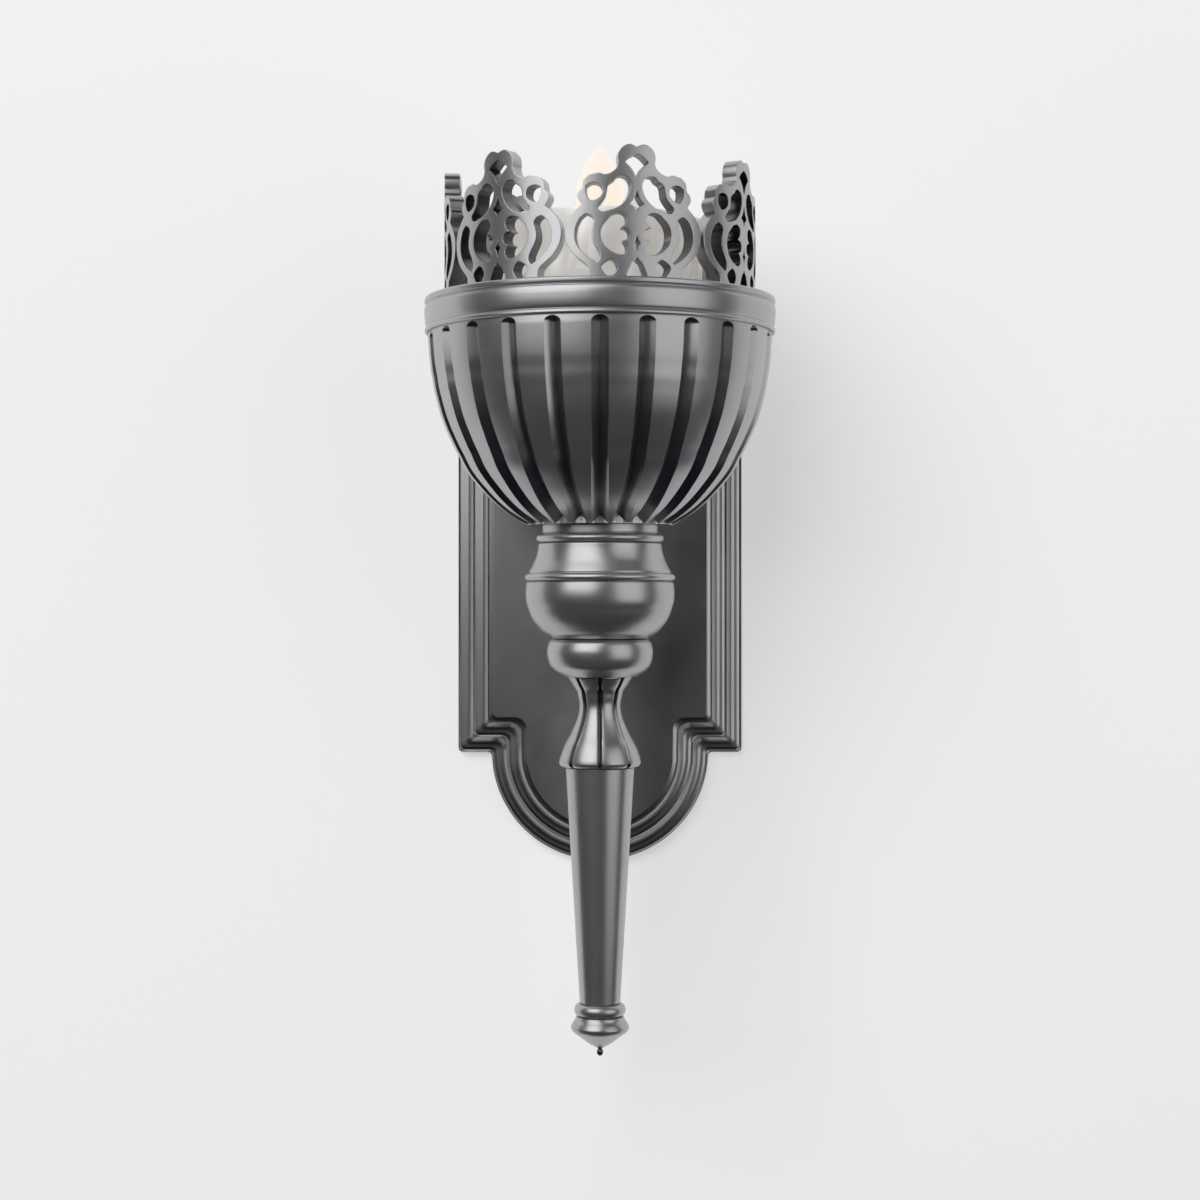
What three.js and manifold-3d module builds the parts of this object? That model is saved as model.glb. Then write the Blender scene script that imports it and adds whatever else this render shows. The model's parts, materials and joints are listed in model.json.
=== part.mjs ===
// Electric torch sconce: moulded backplate, horizontal arm, turned and fluted torch,
// crown of seven pierced petals round an opal glass cup with a flame-tip bulb.
// Millimetres, +Z up. The wall is the plane y = 0 and the sconce stands out towards -Y.
// The origin is the centre of the wall strap's rear face.

import * as THREE from 'three';
import { mergeVertices } from 'three/addons/utils/BufferGeometryUtils.js';
import Module from 'manifold-3d';

const wasm = await Module();
wasm.setup();

// Driving dimensions

const torchStandOff = 145;      // torch axis in front of the wall
const seatGap = 0.3;            // play between pieces that meet

const plateHalfWidth = 105.8;   // rectangle of the backplate
const plateShoulder = 113.5;    // height of its shoulders above and below the arm
const plateRound = 80.8;        // radius of the round ends
const plateTier = 11.1;         // width of one tier of the border
const plateEdge = 5.5;          // height of the plate's edge above the wall
const plateField = 18;          // height of the plain field above the wall
const plateWall = 4;            // thickness of the casting behind the field
const studHeight = 85;          // mounting studs above and below the arm

const strapHalfWidth = 13;
const strapHalfLength = 100;
const strapThickness = 2.5;
const groundScrewHeight = 22;
const studClearance = 2.4;      // radius of the holes for M4 studs and screws

const armRadius = 11.5;
const armBore = 9;
const socketDepth = 17;         // from the torch axis back to the arm's front end

const crownRadius = 106.3;      // outer face of the petals
const petalThickness = 10.5;
const petalCount = 7;
const petalFirstAngle = 360 / 28;   // degrees from the front to the first petal
const rimTop = 205;             // top face of the rim ring
const petalSeat = 199;          // floor of the petals' groove in the rim
const petalDatum = 204;         // height that the petals' drawing is measured from

const bowlFoot = 51.8;          // underside of the bowl
const bowlTop = 192.7;
const bowlFloor = 57.5;         // inside of the bowl at the lamp pipe
const fluteCount = 24;
const fluteWidth = 10.8;
const fluteDepth = 5;
const fluteTop = 181.5;         // where the domed ends of the flutes finish

const rodRadius = 4;            // tie rod
const pipeRadius = 5;           // lamp pipe
const pipeBore = 3.5;
const seatFloor = 150;          // underside of the glass seat
const stemSegments = 24;        // sides of the turned pieces of the stem

// Finishes

function metal(colour, roughness) {
  return new THREE.MeshStandardMaterial({ color: colour, roughness, metalness: 1 });
}

const graphite = metal(0x4a4a4d, 0.38);
const darkSteel = metal(0x3a3a3c, 0.45);
const zincSteel = metal(0x9a9c9e, 0.4);
const nickel = metal(0xc9c7c2, 0.25);
const greenPaint = new THREE.MeshStandardMaterial({ color: 0x2f7d4f, roughness: 0.5, metalness: 0 });
const ivorySleeve = new THREE.MeshStandardMaterial({ color: 0xe8e2d2, roughness: 0.5, metalness: 0 });
const blackPlastic = new THREE.MeshStandardMaterial({ color: 0x1c1c1d, roughness: 0.5, metalness: 0 });
const opalGlass = new THREE.MeshStandardMaterial({ color: 0xf2f1ee, roughness: 0.12, metalness: 0 });
const litGlass = new THREE.MeshStandardMaterial({ color: 0xfdf0e2, roughness: 0.2, metalness: 0 });

// Solids

// Merges the corners that faces share and drops faces that have no area.
function weld(geometry) {
  geometry.deleteAttribute('normal');
  geometry.deleteAttribute('uv');
  const merged = mergeVertices(geometry, 1e-3);
  const index = merged.index.array;
  const kept = [];
  for (let i = 0; i < index.length; i += 3) {
    const [a, b, c] = [index[i], index[i + 1], index[i + 2]];
    if (a !== b && b !== c && c !== a) kept.push(a, b, c);
  }
  merged.setIndex(kept);
  return merged;
}

function toSolid(geometry) {
  const mesh = new wasm.Mesh({
    numProp: 3,
    vertProperties: new Float32Array(geometry.attributes.position.array),
    triVerts: new Uint32Array(geometry.index.array),
  });
  return new wasm.Manifold(mesh);
}

function toGeometry(solid) {
  const mesh = solid.getMesh();
  const geometry = new THREE.BufferGeometry();
  geometry.setAttribute('position', new THREE.BufferAttribute(new Float32Array(mesh.vertProperties), 3));
  geometry.setIndex(new THREE.BufferAttribute(new Uint32Array(mesh.triVerts), 1));
  return geometry;
}

function cut(geometry, tools) {
  let solid = toSolid(geometry);
  for (const tool of tools) solid = solid.subtract(toSolid(tool));
  return toGeometry(solid);
}

// Turns a profile of [radius, height] points about the Z axis. The points run up the outside
// and, for a hollow piece, back down the inside.
function turned(profile, segments) {
  const points = profile.map(([radius, height]) => new THREE.Vector2(radius, height));
  const onAxis = profile[0][0] === 0 && profile[profile.length - 1][0] === 0;
  if (!onAxis) points.push(points[0].clone());
  const geometry = new THREE.LatheGeometry(points, segments);
  geometry.rotateX(Math.PI / 2);
  return weld(geometry);
}

// A turned piece with a straight bore from end to end.
function turnedRing(outside, bore, segments) {
  const low = outside[0][1];
  const high = outside[outside.length - 1][1];
  return turned([[bore, low], ...outside, [bore, high]], segments);
}

function cylinder(radius, low, high, segments) {
  return turned([[0, low], [radius, low], [radius, high], [0, high]], segments);
}

// The same along Y, from near the wall towards the front.
function alongY(geometry) {
  geometry.rotateX(Math.PI / 2);
  return geometry;
}

function hexNut(acrossFlats, bore, height) {
  const outline = new THREE.Shape();
  const corner = acrossFlats / Math.sqrt(3);
  for (let i = 0; i < 6; i++) {
    const angle = (i * Math.PI) / 3;
    const [x, y] = [corner * Math.cos(angle), corner * Math.sin(angle)];
    if (i === 0) outline.moveTo(x, y);
    else outline.lineTo(x, y);
  }
  outline.closePath();
  outline.holes.push(new THREE.Path().absarc(0, 0, bore, 0, 2 * Math.PI, true));
  return weld(new THREE.ExtrudeGeometry(outline, { depth: height, bevelEnabled: false, curveSegments: 8 }));
}

// Joins rings of equally many points with bands of faces, and caps the first and last ring.
// The rings are listed from the rear cavity, round the edge, to the front face.
function lofted(rings) {
  const count = rings[0].length;
  const positions = rings.flat().flatMap((point) => point);
  const index = [];
  for (let r = 0; r + 1 < rings.length; r++) {
    for (let i = 0; i < count; i++) {
      const j = (i + 1) % count;
      const [a, b, c, d] = [r * count + i, r * count + j, (r + 1) * count + j, (r + 1) * count + i];
      index.push(a, b, c, a, c, d);
    }
  }
  const cap = (ring, offset, flip) => {
    const flat = ring.map(([x, , z]) => new THREE.Vector2(x, z));
    for (const [a, b, c] of THREE.ShapeUtils.triangulateShape(flat, [])) {
      if (flip) index.push(offset + a, offset + c, offset + b);
      else index.push(offset + a, offset + b, offset + c);
    }
  };
  cap(rings[0], 0, true);
  cap(rings[rings.length - 1], (rings.length - 1) * count, false);
  const geometry = new THREE.BufferGeometry();
  geometry.setAttribute('position', new THREE.Float32BufferAttribute(positions, 3));
  geometry.setIndex(index);
  return weld(geometry);
}

// Halves every edge of a closed mesh that spans more than a limit along X, until none is left,
// so that the mesh can be bent. The two faces of an edge share its new corner.
function splitWideFaces(geometry, limit) {
  const positions = Array.from(geometry.attributes.position.array);
  let faces = Array.from(geometry.index.array);
  const width = (a, b) => Math.abs(positions[3 * a] - positions[3 * b]);
  let changed = true;
  while (changed) {
    changed = false;
    const middles = new Map();
    const middleOf = (a, b) => {
      const key = a < b ? `${a},${b}` : `${b},${a}`;
      if (!middles.has(key)) {
        for (let k = 0; k < 3; k++) positions.push((positions[3 * a + k] + positions[3 * b + k]) / 2);
        middles.set(key, positions.length / 3 - 1);
      }
      return middles.get(key);
    };
    const next = [];
    for (let i = 0; i < faces.length; i += 3) {
      let [a, b, c] = [faces[i], faces[i + 1], faces[i + 2]];
      const widths = [width(a, b), width(b, c), width(c, a)];
      const widest = Math.max(...widths);
      const marked = widths.filter((value) => value > limit).length;
      if (marked === 0) {
        next.push(a, b, c);
        continue;
      }
      changed = true;
      const narrow = widths.findIndex((value) => value <= limit);
      const turn = marked === 2 ? (narrow + 1) % 3 : widths.indexOf(widest);
      [a, b, c] = [[a, b, c], [b, c, a], [c, a, b]][turn];
      const ab = middleOf(a, b);
      if (marked === 1) {
        next.push(a, ab, c, ab, b, c);
        continue;
      }
      const bc = middleOf(b, c);
      if (marked === 2) {
        next.push(a, ab, c, ab, bc, c, ab, b, bc);
        continue;
      }
      const ca = middleOf(c, a);
      next.push(a, ab, ca, ab, b, bc, ca, bc, c, ab, bc, ca);
    }
    faces = next;
  }
  const split = new THREE.BufferGeometry();
  split.setAttribute('position', new THREE.Float32BufferAttribute(positions, 3));
  split.setIndex(faces);
  return split;
}

// Moves every corner of a mesh by a function of its place.
function reshape(geometry, move) {
  const position = geometry.attributes.position;
  const point = new THREE.Vector3();
  for (let i = 0; i < position.count; i++) {
    point.fromBufferAttribute(position, i);
    move(point);
    position.setXYZ(i, point.x, point.y, point.z);
  }
  return geometry;
}

const sconce = new THREE.Group();
sconce.name = 'torch_sconce';

function add(parent, name, geometry, material) {
  const mesh = new THREE.Mesh(geometry, material);
  mesh.name = name;
  parent.add(mesh);
  return mesh;
}

// Backplate

// Outline of the plate moved inwards by an inset, as points on the plane at a height above the
// wall: a rectangle whose top and bottom carry a half round between shoulders.
function plateRing(inset, height) {
  const side = plateHalfWidth - inset;
  const shoulder = plateShoulder - inset;
  const round = plateRound - inset;
  const corner = 3.6;
  const hollowCorner = Math.min(3 + 0.22 * inset, plateShoulder - shoulder + 3);
  const quarter = [];
  const arc = (x, z, radius, from, to, steps) => {
    for (let i = 0; i <= steps; i++) {
      const angle = ((from + ((to - from) * i) / steps) * Math.PI) / 180;
      quarter.push([x + radius * Math.cos(angle), z + radius * Math.sin(angle)]);
    }
  };
  arc(side - corner, shoulder - corner, corner, 0, 90, 1);
  arc(round + hollowCorner, shoulder + hollowCorner, hollowCorner, 270, 180, 2);
  arc(0, plateShoulder, round, 6, 90, 6);
  const mirrorX = quarter.map(([x, z]) => [-x, z]).reverse().slice(1);
  const upper = [...quarter, ...mirrorX];
  const lower = upper.map(([x, z]) => [x, -z]).reverse();
  return [...upper, ...lower].map(([x, z]) => [x, -height, z]);
}

function backplateGeometry() {
  const rings = [
    plateRing(3 * plateTier - 3, plateField - plateWall),
    plateRing(plateWall, 0),
    plateRing(0, 0),
    plateRing(0, plateEdge),
  ];
  for (let tier = 0; tier < 3; tier++) {
    const start = tier * plateTier;
    const base = plateEdge + (tier * (plateField - plateEdge)) / 3;
    rings.push(plateRing(start + 0.7, base + 0.9));
    rings.push(plateRing(start + 2.4, base + 1.1));
    if (tier < 2) rings.push(plateRing(start + 6.4, base + 3.4));
  }
  rings.push(plateRing(2 * plateTier + 6, plateField));
  const through = (radius, sides, height) => alongY(cylinder(radius, 5, 40, sides)).translate(0, 0, height);
  const armHole = through(armRadius + seatGap, 32, 0);
  const studHoles = [studHeight, -studHeight].map((height) => through(studClearance, 12, height));
  return cut(lofted(rings), [armHole, ...studHoles]);
}

function wallStrapGeometry() {
  const corner = 4;
  const slotCentre = 44.5;      // half the 89 mm pitch of a junction box's screws
  const slotRadius = 2.8;
  const slotReach = 5;          // the slots' straight part above and below their centre
  const [side, end] = [strapHalfWidth, strapHalfLength];
  const right = [[side - corner, -end], [side, -end + corner], [side, end - corner], [side - corner, end]];
  const left = right.map(([x, z]) => [-x, z]).reverse();
  const outline = new THREE.Shape([...right, ...left].map(([x, z]) => new THREE.Vector2(x, z)));
  const hole = (height) => new THREE.Path().absarc(0, height, studClearance, 0, 2 * Math.PI, true);
  for (const sign of [1, -1]) {
    const slot = new THREE.Path();
    slot.absarc(0, sign * slotCentre + slotReach, slotRadius, 0, Math.PI, false);
    slot.absarc(0, sign * slotCentre - slotReach, slotRadius, Math.PI, 2 * Math.PI, false);
    outline.holes.push(slot, hole(sign * studHeight));
  }
  outline.holes.push(hole(groundScrewHeight));
  const options = { depth: strapThickness, bevelEnabled: false, curveSegments: 3 };
  return weld(alongY(new THREE.ExtrudeGeometry(outline, options)));
}

// A stud from the strap, with the nut that holds it there.
function studGeometry() {
  const radius = 2;
  const nutRadius = 4.5;
  const nut = strapThickness + seatGap;
  const end = plateField + 6.5;
  const profile = [
    [0, 0], [radius, 0], [radius, nut], [nutRadius, nut], [nutRadius, nut + 2.7], [radius, nut + 2.7],
    [radius, end], [0, end],
  ];
  return alongY(turned(profile, 8));
}

function capNutGeometry() {
  const base = plateField + seatGap;
  const dome = [[6, base], [6, base + 4.5], [4.8, base + 8], [0, base + 9.6]];
  return alongY(turned([[0, base + 6.7], [2.3, base + 6.7], [2.3, base], ...dome], 12));
}

const plate = new THREE.Group();
sconce.add(plate);
add(plate, 'wall_strap', wallStrapGeometry(), zincSteel);
add(plate, 'backplate', backplateGeometry(), graphite);
for (const [side, sign] of [['upper', 1], ['lower', -1]]) {
  add(plate, `plate_stud_${side}`, studGeometry(), zincSteel).position.z = sign * studHeight;
  add(plate, `cap_nut_${side}`, capNutGeometry(), graphite).position.z = sign * studHeight;
}
const screwHead = strapThickness + seatGap;
const groundScrewProfile = [
  [0, 0.2], [1.8, 0.2], [1.8, screwHead], [4.6, screwHead], [4.6, screwHead + 2.6], [0, screwHead + 2.6],
];
const groundScrew = alongY(turned(groundScrewProfile, 6));
add(plate, 'ground_screw', groundScrew, greenPaint).position.z = groundScrewHeight;

// Knop, which the arm enters from behind

const knopOutside = [
  [33, -26.4], [38.7, -22.9], [45.5, -14.7], [49, -6.5], [50.9, 1.7], [50.9, 6.5], [50.3, 12.3],
];

const neckOutside = [
  [50.4, 12.6], [51.5, 14], [51.5, 16.8], [48.5, 18.8], [44.9, 26.4], [42, 38.2], [43.7, 40.4], [43.7, 43.4],
  [38.8, 45.4], [39.4, 51.5],
];

// The wires come in through the arm, turn in the knop and go up the lamp pipe.
function knopGeometry() {
  const knop = turnedRing(knopOutside, pipeRadius + seatGap, stemSegments);
  const socketEnd = socketDepth - 1;
  const socket = alongY(cylinder(armRadius + seatGap, -60, -socketEnd, 20));
  const wireWay = alongY(cylinder(6, -60, 0, 12));
  return cut(knop, [socket, wireWay]);
}

// Arm, from inside the plate to the socket of the knop

const arm = new THREE.Group();
sconce.add(arm);
const armBack = strapThickness + 4.5;    // leaves the wires a way out behind the arm
const armFront = torchStandOff - socketDepth;
const armTube = turnedRing([[armRadius, armBack], [armRadius, armFront]], armBore, 20);
add(arm, 'arm_tube', alongY(armTube), darkSteel);

const flangeBase = plateField + seatGap;
const flangeProfile = [
  [36, flangeBase], [36, flangeBase + 2.5], [33, flangeBase + 4.6], [24, flangeBase + 7],
  [19.5, flangeBase + 12.6], [19.5, flangeBase + 16], [18, flangeBase + 17.4],
];
add(arm, 'arm_flange', alongY(turnedRing(flangeProfile, armRadius + seatGap, 20)), graphite);

// Washer and locknut clamp the arm to the plate from behind.
const washerFront = plateField - plateWall - seatGap;
const washerBack = washerFront - 2;
const washer = turnedRing([[24, washerBack], [24, washerFront]], armRadius + seatGap, 16);
add(arm, 'arm_washer', alongY(washer), zincSteel);
const locknutHeight = 4;
const locknut = hexNut(34, armRadius + seatGap, locknutHeight);
add(arm, 'arm_locknut', alongY(locknut.translate(0, 0, washerBack - seatGap - locknutHeight)), zincSteel);

// The collar's front is cut to the knop and the bead of the neck, with the usual play.
function armCollarGeometry() {
  const back = torchStandOff - 60;
  const stemHalfHeight = 26.4;
  const collarOutside = [[17, back], [20.5, back + 3], [20.5, back + 6], [18, back + 8], [18, back + 24]];
  const collar = alongY(turnedRing(collarOutside, armRadius + seatGap, 16));
  const touched = [...knopOutside, ...neckOutside.slice(1, 5)];
  const stem = touched.map(([radius, height]) => [radius + seatGap, height]);
  const envelope = turned([[0, -stemHalfHeight], ...stem, [0, stemHalfHeight]], stemSegments);
  return cut(collar, [envelope.translate(0, -torchStandOff, 0)]);
}
add(arm, 'arm_collar', armCollarGeometry(), graphite);

// Torch: everything on its upright axis

const torch = new THREE.Group();
torch.position.y = -torchStandOff;
sconce.add(torch);

add(torch, 'knop', knopGeometry(), graphite);
add(torch, 'neck', turnedRing(neckOutside, pipeRadius + seatGap, stemSegments), graphite);

const lowerKnopOutside = [
  [25, -52.4], [31.8, -47.6], [35.6, -41.4], [36.3, -36.6], [35.7, -31.5], [33, -26.7],
];
add(torch, 'lower_knop', turnedRing(lowerKnopOutside, rodRadius + seatGap, stemSegments), graphite);

// Waist with eight rounded lobes between narrow grooves

const waistFoot = -114.3;
const waistTop = -52.7;
const waistOutside = [
  [22.4, waistFoot], [26.9, -113.3], [28.1, -111.2], [26.8, -106], [22.6, -96], [17.3, -85], [14.2, -71.5],
  [16.1, -62.4], [21.8, waistTop],
];
const lobeCount = 8;

function waistGeometry() {
  const columns = [0, 5, 22.5, 40];       // degrees from a groove to the next
  const depths = [0.13, 0.02, 0, 0.02];   // shares of the radius
  const perLobe = columns.length;
  const waist = turned([[0, waistFoot], ...waistOutside, [0, waistTop]], lobeCount * perLobe);
  reshape(waist, (point) => {
    const radius = Math.hypot(point.x, point.y);
    if (radius < 1) return;
    const turn = Math.round((Math.atan2(point.y, point.x) * lobeCount * perLobe) / (2 * Math.PI));
    const column = ((turn % perLobe) + perLobe) % perLobe;
    const lobe = Math.floor(turn / perLobe);
    const angle = (((lobe * 360) / lobeCount + columns[column] - 90) * Math.PI) / 180;
    const grooved = radius * (1 - depths[column]);
    point.set(grooved * Math.cos(angle), grooved * Math.sin(angle), point.z);
  });
  return cut(waist, [cylinder(rodRadius + seatGap, -120, -40, 12)]);
}
add(torch, 'waist', waistGeometry(), graphite);

const handleOutside = [[13.85, -275.6], [23.5, waistFoot - seatGap]];
add(torch, 'handle', turnedRing(handleOutside, rodRadius + seatGap, stemSegments), graphite);

const finialSocket = -291;      // blind end of the finial's bore
const finialProfile = [
  [0, -306.4], [2.5, -306.4], [13.7, -298.9], [18.5, -295.4], [19.9, -292.3], [19, -288.6], [16.2, -284.8],
  [17.6, -281.8], [17.2, -278.6], [14.2, -275.9], [rodRadius + seatGap, -275.9],
  [rodRadius + seatGap, finialSocket], [0, finialSocket],
];
add(torch, 'finial', turned(finialProfile, 16), graphite);
const dropProfile = [[0, -312.2], [1.7, -311.3], [2.25, -309.4], [1.6, -307.4], [1, -306.7], [0, -306.7]];
add(torch, 'finial_drop', turned(dropProfile, 8), darkSteel);

add(torch, 'tie_rod', cylinder(rodRadius, finialSocket + seatGap, -14, 12), zincSteel);
const pipeTop = 170;
const pipe = turnedRing([[pipeRadius, 6.5], [pipeRadius, pipeTop]], pipeBore, 12);
add(torch, 'lamp_pipe', pipe, zincSteel);

// Fluted bowl

const bowlOutside = [
  [50.2, bowlFoot], [66, 61], [80.8, 75], [92.5, 90], [102.5, 110], [110.6, 132], [115.5, 156],
  [117.3, fluteTop - 4], [117.4, fluteTop], [114.6, fluteTop + 0.4], [114.6, bowlTop],
];
const bowlInside = [
  [42, bowlFloor], [68, 72], [85, 93], [97, 118], [104, 146], [106.6, bowlTop + 1],
];

// The flutes keep one width all the way down, so their ribs run out to points at the foot.
function bowlGeometry() {
  const across = [-0.5, 0, 0.5];    // edges and bottom of a flute, as shares of its width
  const depths = [0, 1, 0];
  const perFlute = across.length;
  const body = turned([[0, bowlFoot], ...bowlOutside, [0, bowlTop]], fluteCount * perFlute);
  reshape(body, (point) => {
    const radius = Math.hypot(point.x, point.y);
    if (radius < 1) return;
    const turn = Math.round((Math.atan2(point.y, point.x) * fluteCount * perFlute) / (2 * Math.PI));
    const column = ((turn % perFlute) + perFlute) % perFlute;
    const flute = Math.floor(turn / perFlute);
    const angle = (flute * 2 * Math.PI) / fluteCount + (across[column] * fluteWidth) / radius;
    const depth = point.z < fluteTop - 1 ? fluteDepth * depths[column] : 0;
    const grooved = radius - depth;
    point.set(grooved * Math.cos(angle), grooved * Math.sin(angle), point.z);
  });
  const hollow = turned([[0, bowlFloor], ...bowlInside, [0, bowlTop + 1]], 24);
  return cut(body, [hollow, cylinder(pipeRadius + seatGap, 40, 70, 12)]);
}
add(torch, 'bowl', bowlGeometry(), graphite);

const bowlWasherTop = bowlFloor + 2.3;
const bowlWasher = turnedRing([[16, bowlFloor + seatGap], [16, bowlWasherTop]], pipeRadius + seatGap, 12);
add(torch, 'bowl_washer', bowlWasher, zincSteel);
const pipeNut = { acrossFlats: 17, height: 6 };
function pipeNutGeometry(base) {
  return hexNut(pipeNut.acrossFlats, pipeRadius + seatGap, pipeNut.height).translate(0, 0, base);
}
add(torch, 'bowl_locknut', pipeNutGeometry(bowlWasherTop + seatGap), zincSteel);

// Rim ring, an angle section over the bowl's edge. The feet of the petals stand on its ledge,
// between its outer lip and a clamp ring pressed in behind them.

const petalInner = crownRadius - petalThickness;
const rimInner = 92;
const rimUnderside = bowlTop + seatGap;
const rimOutside = [
  [rimInner, rimUnderside], [115.6, rimUnderside], [115.6, 182.2], [118.4, 182.2], [118.6, 180],
  [119.6, 180.8], [118.6, 185], [120, 187.4], [120, 199], [118.8, 201], [120, 202.2], [119.6, rimTop],
];
const lipInner = crownRadius + 0.7;
const ledge = petalSeat - seatGap;
const rimLedge = [[lipInner, rimTop], [lipInner, ledge], [rimInner, ledge]];
add(torch, 'rim_ring', turned([...rimOutside, ...rimLedge], 32), graphite);
const clampOuter = petalInner - 0.6;
const clampInner = rimInner + seatGap;
const clampRing = turnedRing([[clampOuter, petalSeat], [clampOuter, rimTop + 1.5]], clampInner, 28);
add(torch, 'crown_clamp_ring', clampRing, graphite);

// Petals: pierced outline drawn flat, then bent to the crown. Points are [sideways, above the datum].

const petalEdge = {
  belly: [[31, 6], [41.2, 17], [45.5, 24.3], [46.6, 31.8], [44.9, 38.3], [35.6, 48.6]],
  ear: [[38.2, 53.4], [35.2, 58.8]],
  shoulder: [[34.2, 64], [28, 68], [21.3, 67.5], [15.4, 70.2], [12.1, 75], [11.9, 82]],
  tip: [[10, 85.9], [5.4, 87.2], [0, 85.4]],
};
const centreOpenings = {
  topKite: [[0, 81], [7.7, 75.7], [0, 65]],
  smallKite: [[0, 57.3], [4.4, 48.9], [0, 44.1]],
  star: [[0, 28.7], [2.2, 23.8], [0, 18.4]],
};
const sideOpenings = {
  bean: [
    [9, 66.9], [4.1, 60.4], [8, 50.2], [18.2, 44.7], [25.2, 46.2], [19.6, 54.1], [18.7, 60.1], [13.8, 65.6],
  ],
  drop: [[32.8, 60.1], [27.2, 62.1], [22.6, 58.2], [24.5, 52.6], [31, 52]],
  scallop: [
    [11.2, 43.7], [18.6, 39.8], [23.4, 31.8], [21.4, 22.8], [11.4, 16.5], [6.4, 18.9], [9, 25.4], [4.4, 29.6],
    [10, 34], [6.8, 40.6],
  ],
  crescent: [[32.9, 42.4], [38.4, 36.6], [40, 27.4], [36.3, 19.2], [25.8, 11.3], [25.5, 18], [29.3, 31.8]],
  tulip: [[16.9, 14], [23.1, 9.3], [18.4, 2.6], [13.1, 8.6]],
};
const archOpening = [[6.9, 0], [4.2, 9.4], [0, 14.8]];

function mirroredPath(rightHalf) {
  const leftHalf = rightHalf.filter(([x]) => x > 0).map(([x, y]) => [-x, y]).reverse();
  return pathOf([...rightHalf, ...leftHalf]);
}

function pathOf(points) {
  return new THREE.Path(points.map(([x, y]) => new THREE.Vector2(x, y)));
}

function petalGeometry() {
  const foot = petalSeat - petalDatum;
  const right = [[31, foot], ...petalEdge.belly, ...petalEdge.ear, ...petalEdge.shoulder, ...petalEdge.tip];
  const left = right.filter(([x]) => x > 0).map(([x, y]) => [-x, y]).reverse();
  const outline = new THREE.Shape([...right, ...left].map(([x, y]) => new THREE.Vector2(x, y)));
  for (const points of Object.values(centreOpenings)) outline.holes.push(mirroredPath(points));
  for (const points of Object.values(sideOpenings)) {
    outline.holes.push(pathOf(points));
    outline.holes.push(pathOf(points.map(([x, y]) => [-x, y]).reverse()));
  }
  outline.holes.push(mirroredPath(archOpening));
  const flat = weld(new THREE.ExtrudeGeometry(outline, { depth: petalThickness, bevelEnabled: false }));
  const widestFace = 24;
  return reshape(splitWideFaces(flat, widestFace), (point) => {
    const angle = point.x / crownRadius;
    const radius = petalInner + point.z;
    point.set(radius * Math.sin(angle), -radius * Math.cos(angle), petalDatum + point.y);
  });
}

const petal = petalGeometry();
for (let i = 0; i < petalCount; i++) {
  const angle = petalFirstAngle + (i * 360) / petalCount;
  add(torch, `crown_petal_${i + 1}`, petal, graphite).rotation.z = (angle * Math.PI) / 180;
}

// Lamp: seat, holder and sleeve on the pipe, then the glass and the bulb that lift out

const seatPan = seatFloor + 3;
const seatRim = seatFloor + 9;
const seatBore = pipeRadius + seatGap;
const seatOutside = [[31, seatFloor], [36, seatFloor + 4], [36, seatRim]];
const seatInside = [[34, seatRim], [34, seatFloor + 4.5], [32, seatPan], [seatBore, seatPan]];
add(torch, 'glass_seat', turned([[seatBore, seatFloor], ...seatOutside, ...seatInside], 16), graphite);
add(torch, 'seat_locknut', pipeNutGeometry(seatFloor - seatGap - pipeNut.height), zincSteel);

const onSeat = seatPan + seatGap;
const sleeve = turnedRing([[12.5, onSeat], [12.5, 226]], 11.2, 14);
add(torch, 'candle_sleeve', sleeve, ivorySleeve);
const socketFloor = 204;
const holderTop = 225;
const holderProfile = [
  [seatBore, onSeat], [8.5, onSeat], [8.5, 190], [10.6, 194], [10.6, holderTop], [6.7, holderTop],
  [6.7, socketFloor], [0, socketFloor], [0, pipeTop + seatGap], [seatBore, pipeTop + seatGap],
];
add(torch, 'lampholder', turned(holderProfile, 12), blackPlastic);
const contactTop = socketFloor + 1.7;
add(torch, 'lampholder_contact', cylinder(2.4, socketFloor + seatGap, contactTop, 8), nickel);

const glassOutside = [
  [30.5, onSeat], [30.5, 160.5], [50, 170], [62, 184], [68, 204], [70, 224], [70, 244], [71, 256],
  [69.5, 258],
];
const glassBore = 17;
const glassInside = [
  [66.6, 252], [66.4, 224], [64.4, 206], [58.6, 188], [47, 174.5], [27, 165], [glassBore, 165],
];
add(torch, 'diffuser_glass', turned([[glassBore, onSeat], ...glassOutside, ...glassInside], 24), opalGlass);

const bulbFoot = 230;
const bulbOutside = [
  [6, bulbFoot], [8, 236], [14, 262], [15.8, 276], [15.6, 283], [13.9, 289], [8, 300.8], [2.3, 309.8],
  [0, 311.6],
];
add(torch, 'bulb_glass', turned([[0, bulbFoot], ...bulbOutside], 18), litGlass);
const capTip = contactTop + seatGap;
const capTop = bulbFoot - seatGap;
const capProfile = [
  [0, capTip], [2.2, capTip], [3, 208.4], [6.2, 209.4], [6.2, 228.5], [7, capTop], [0, capTop],
];
add(torch, 'bulb_cap', turned(capProfile, 12), nickel);

export default sconce;
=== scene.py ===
import json
import math

import bmesh
import bpy
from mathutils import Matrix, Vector
from mathutils.geometry import tessellate_polygon


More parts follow.
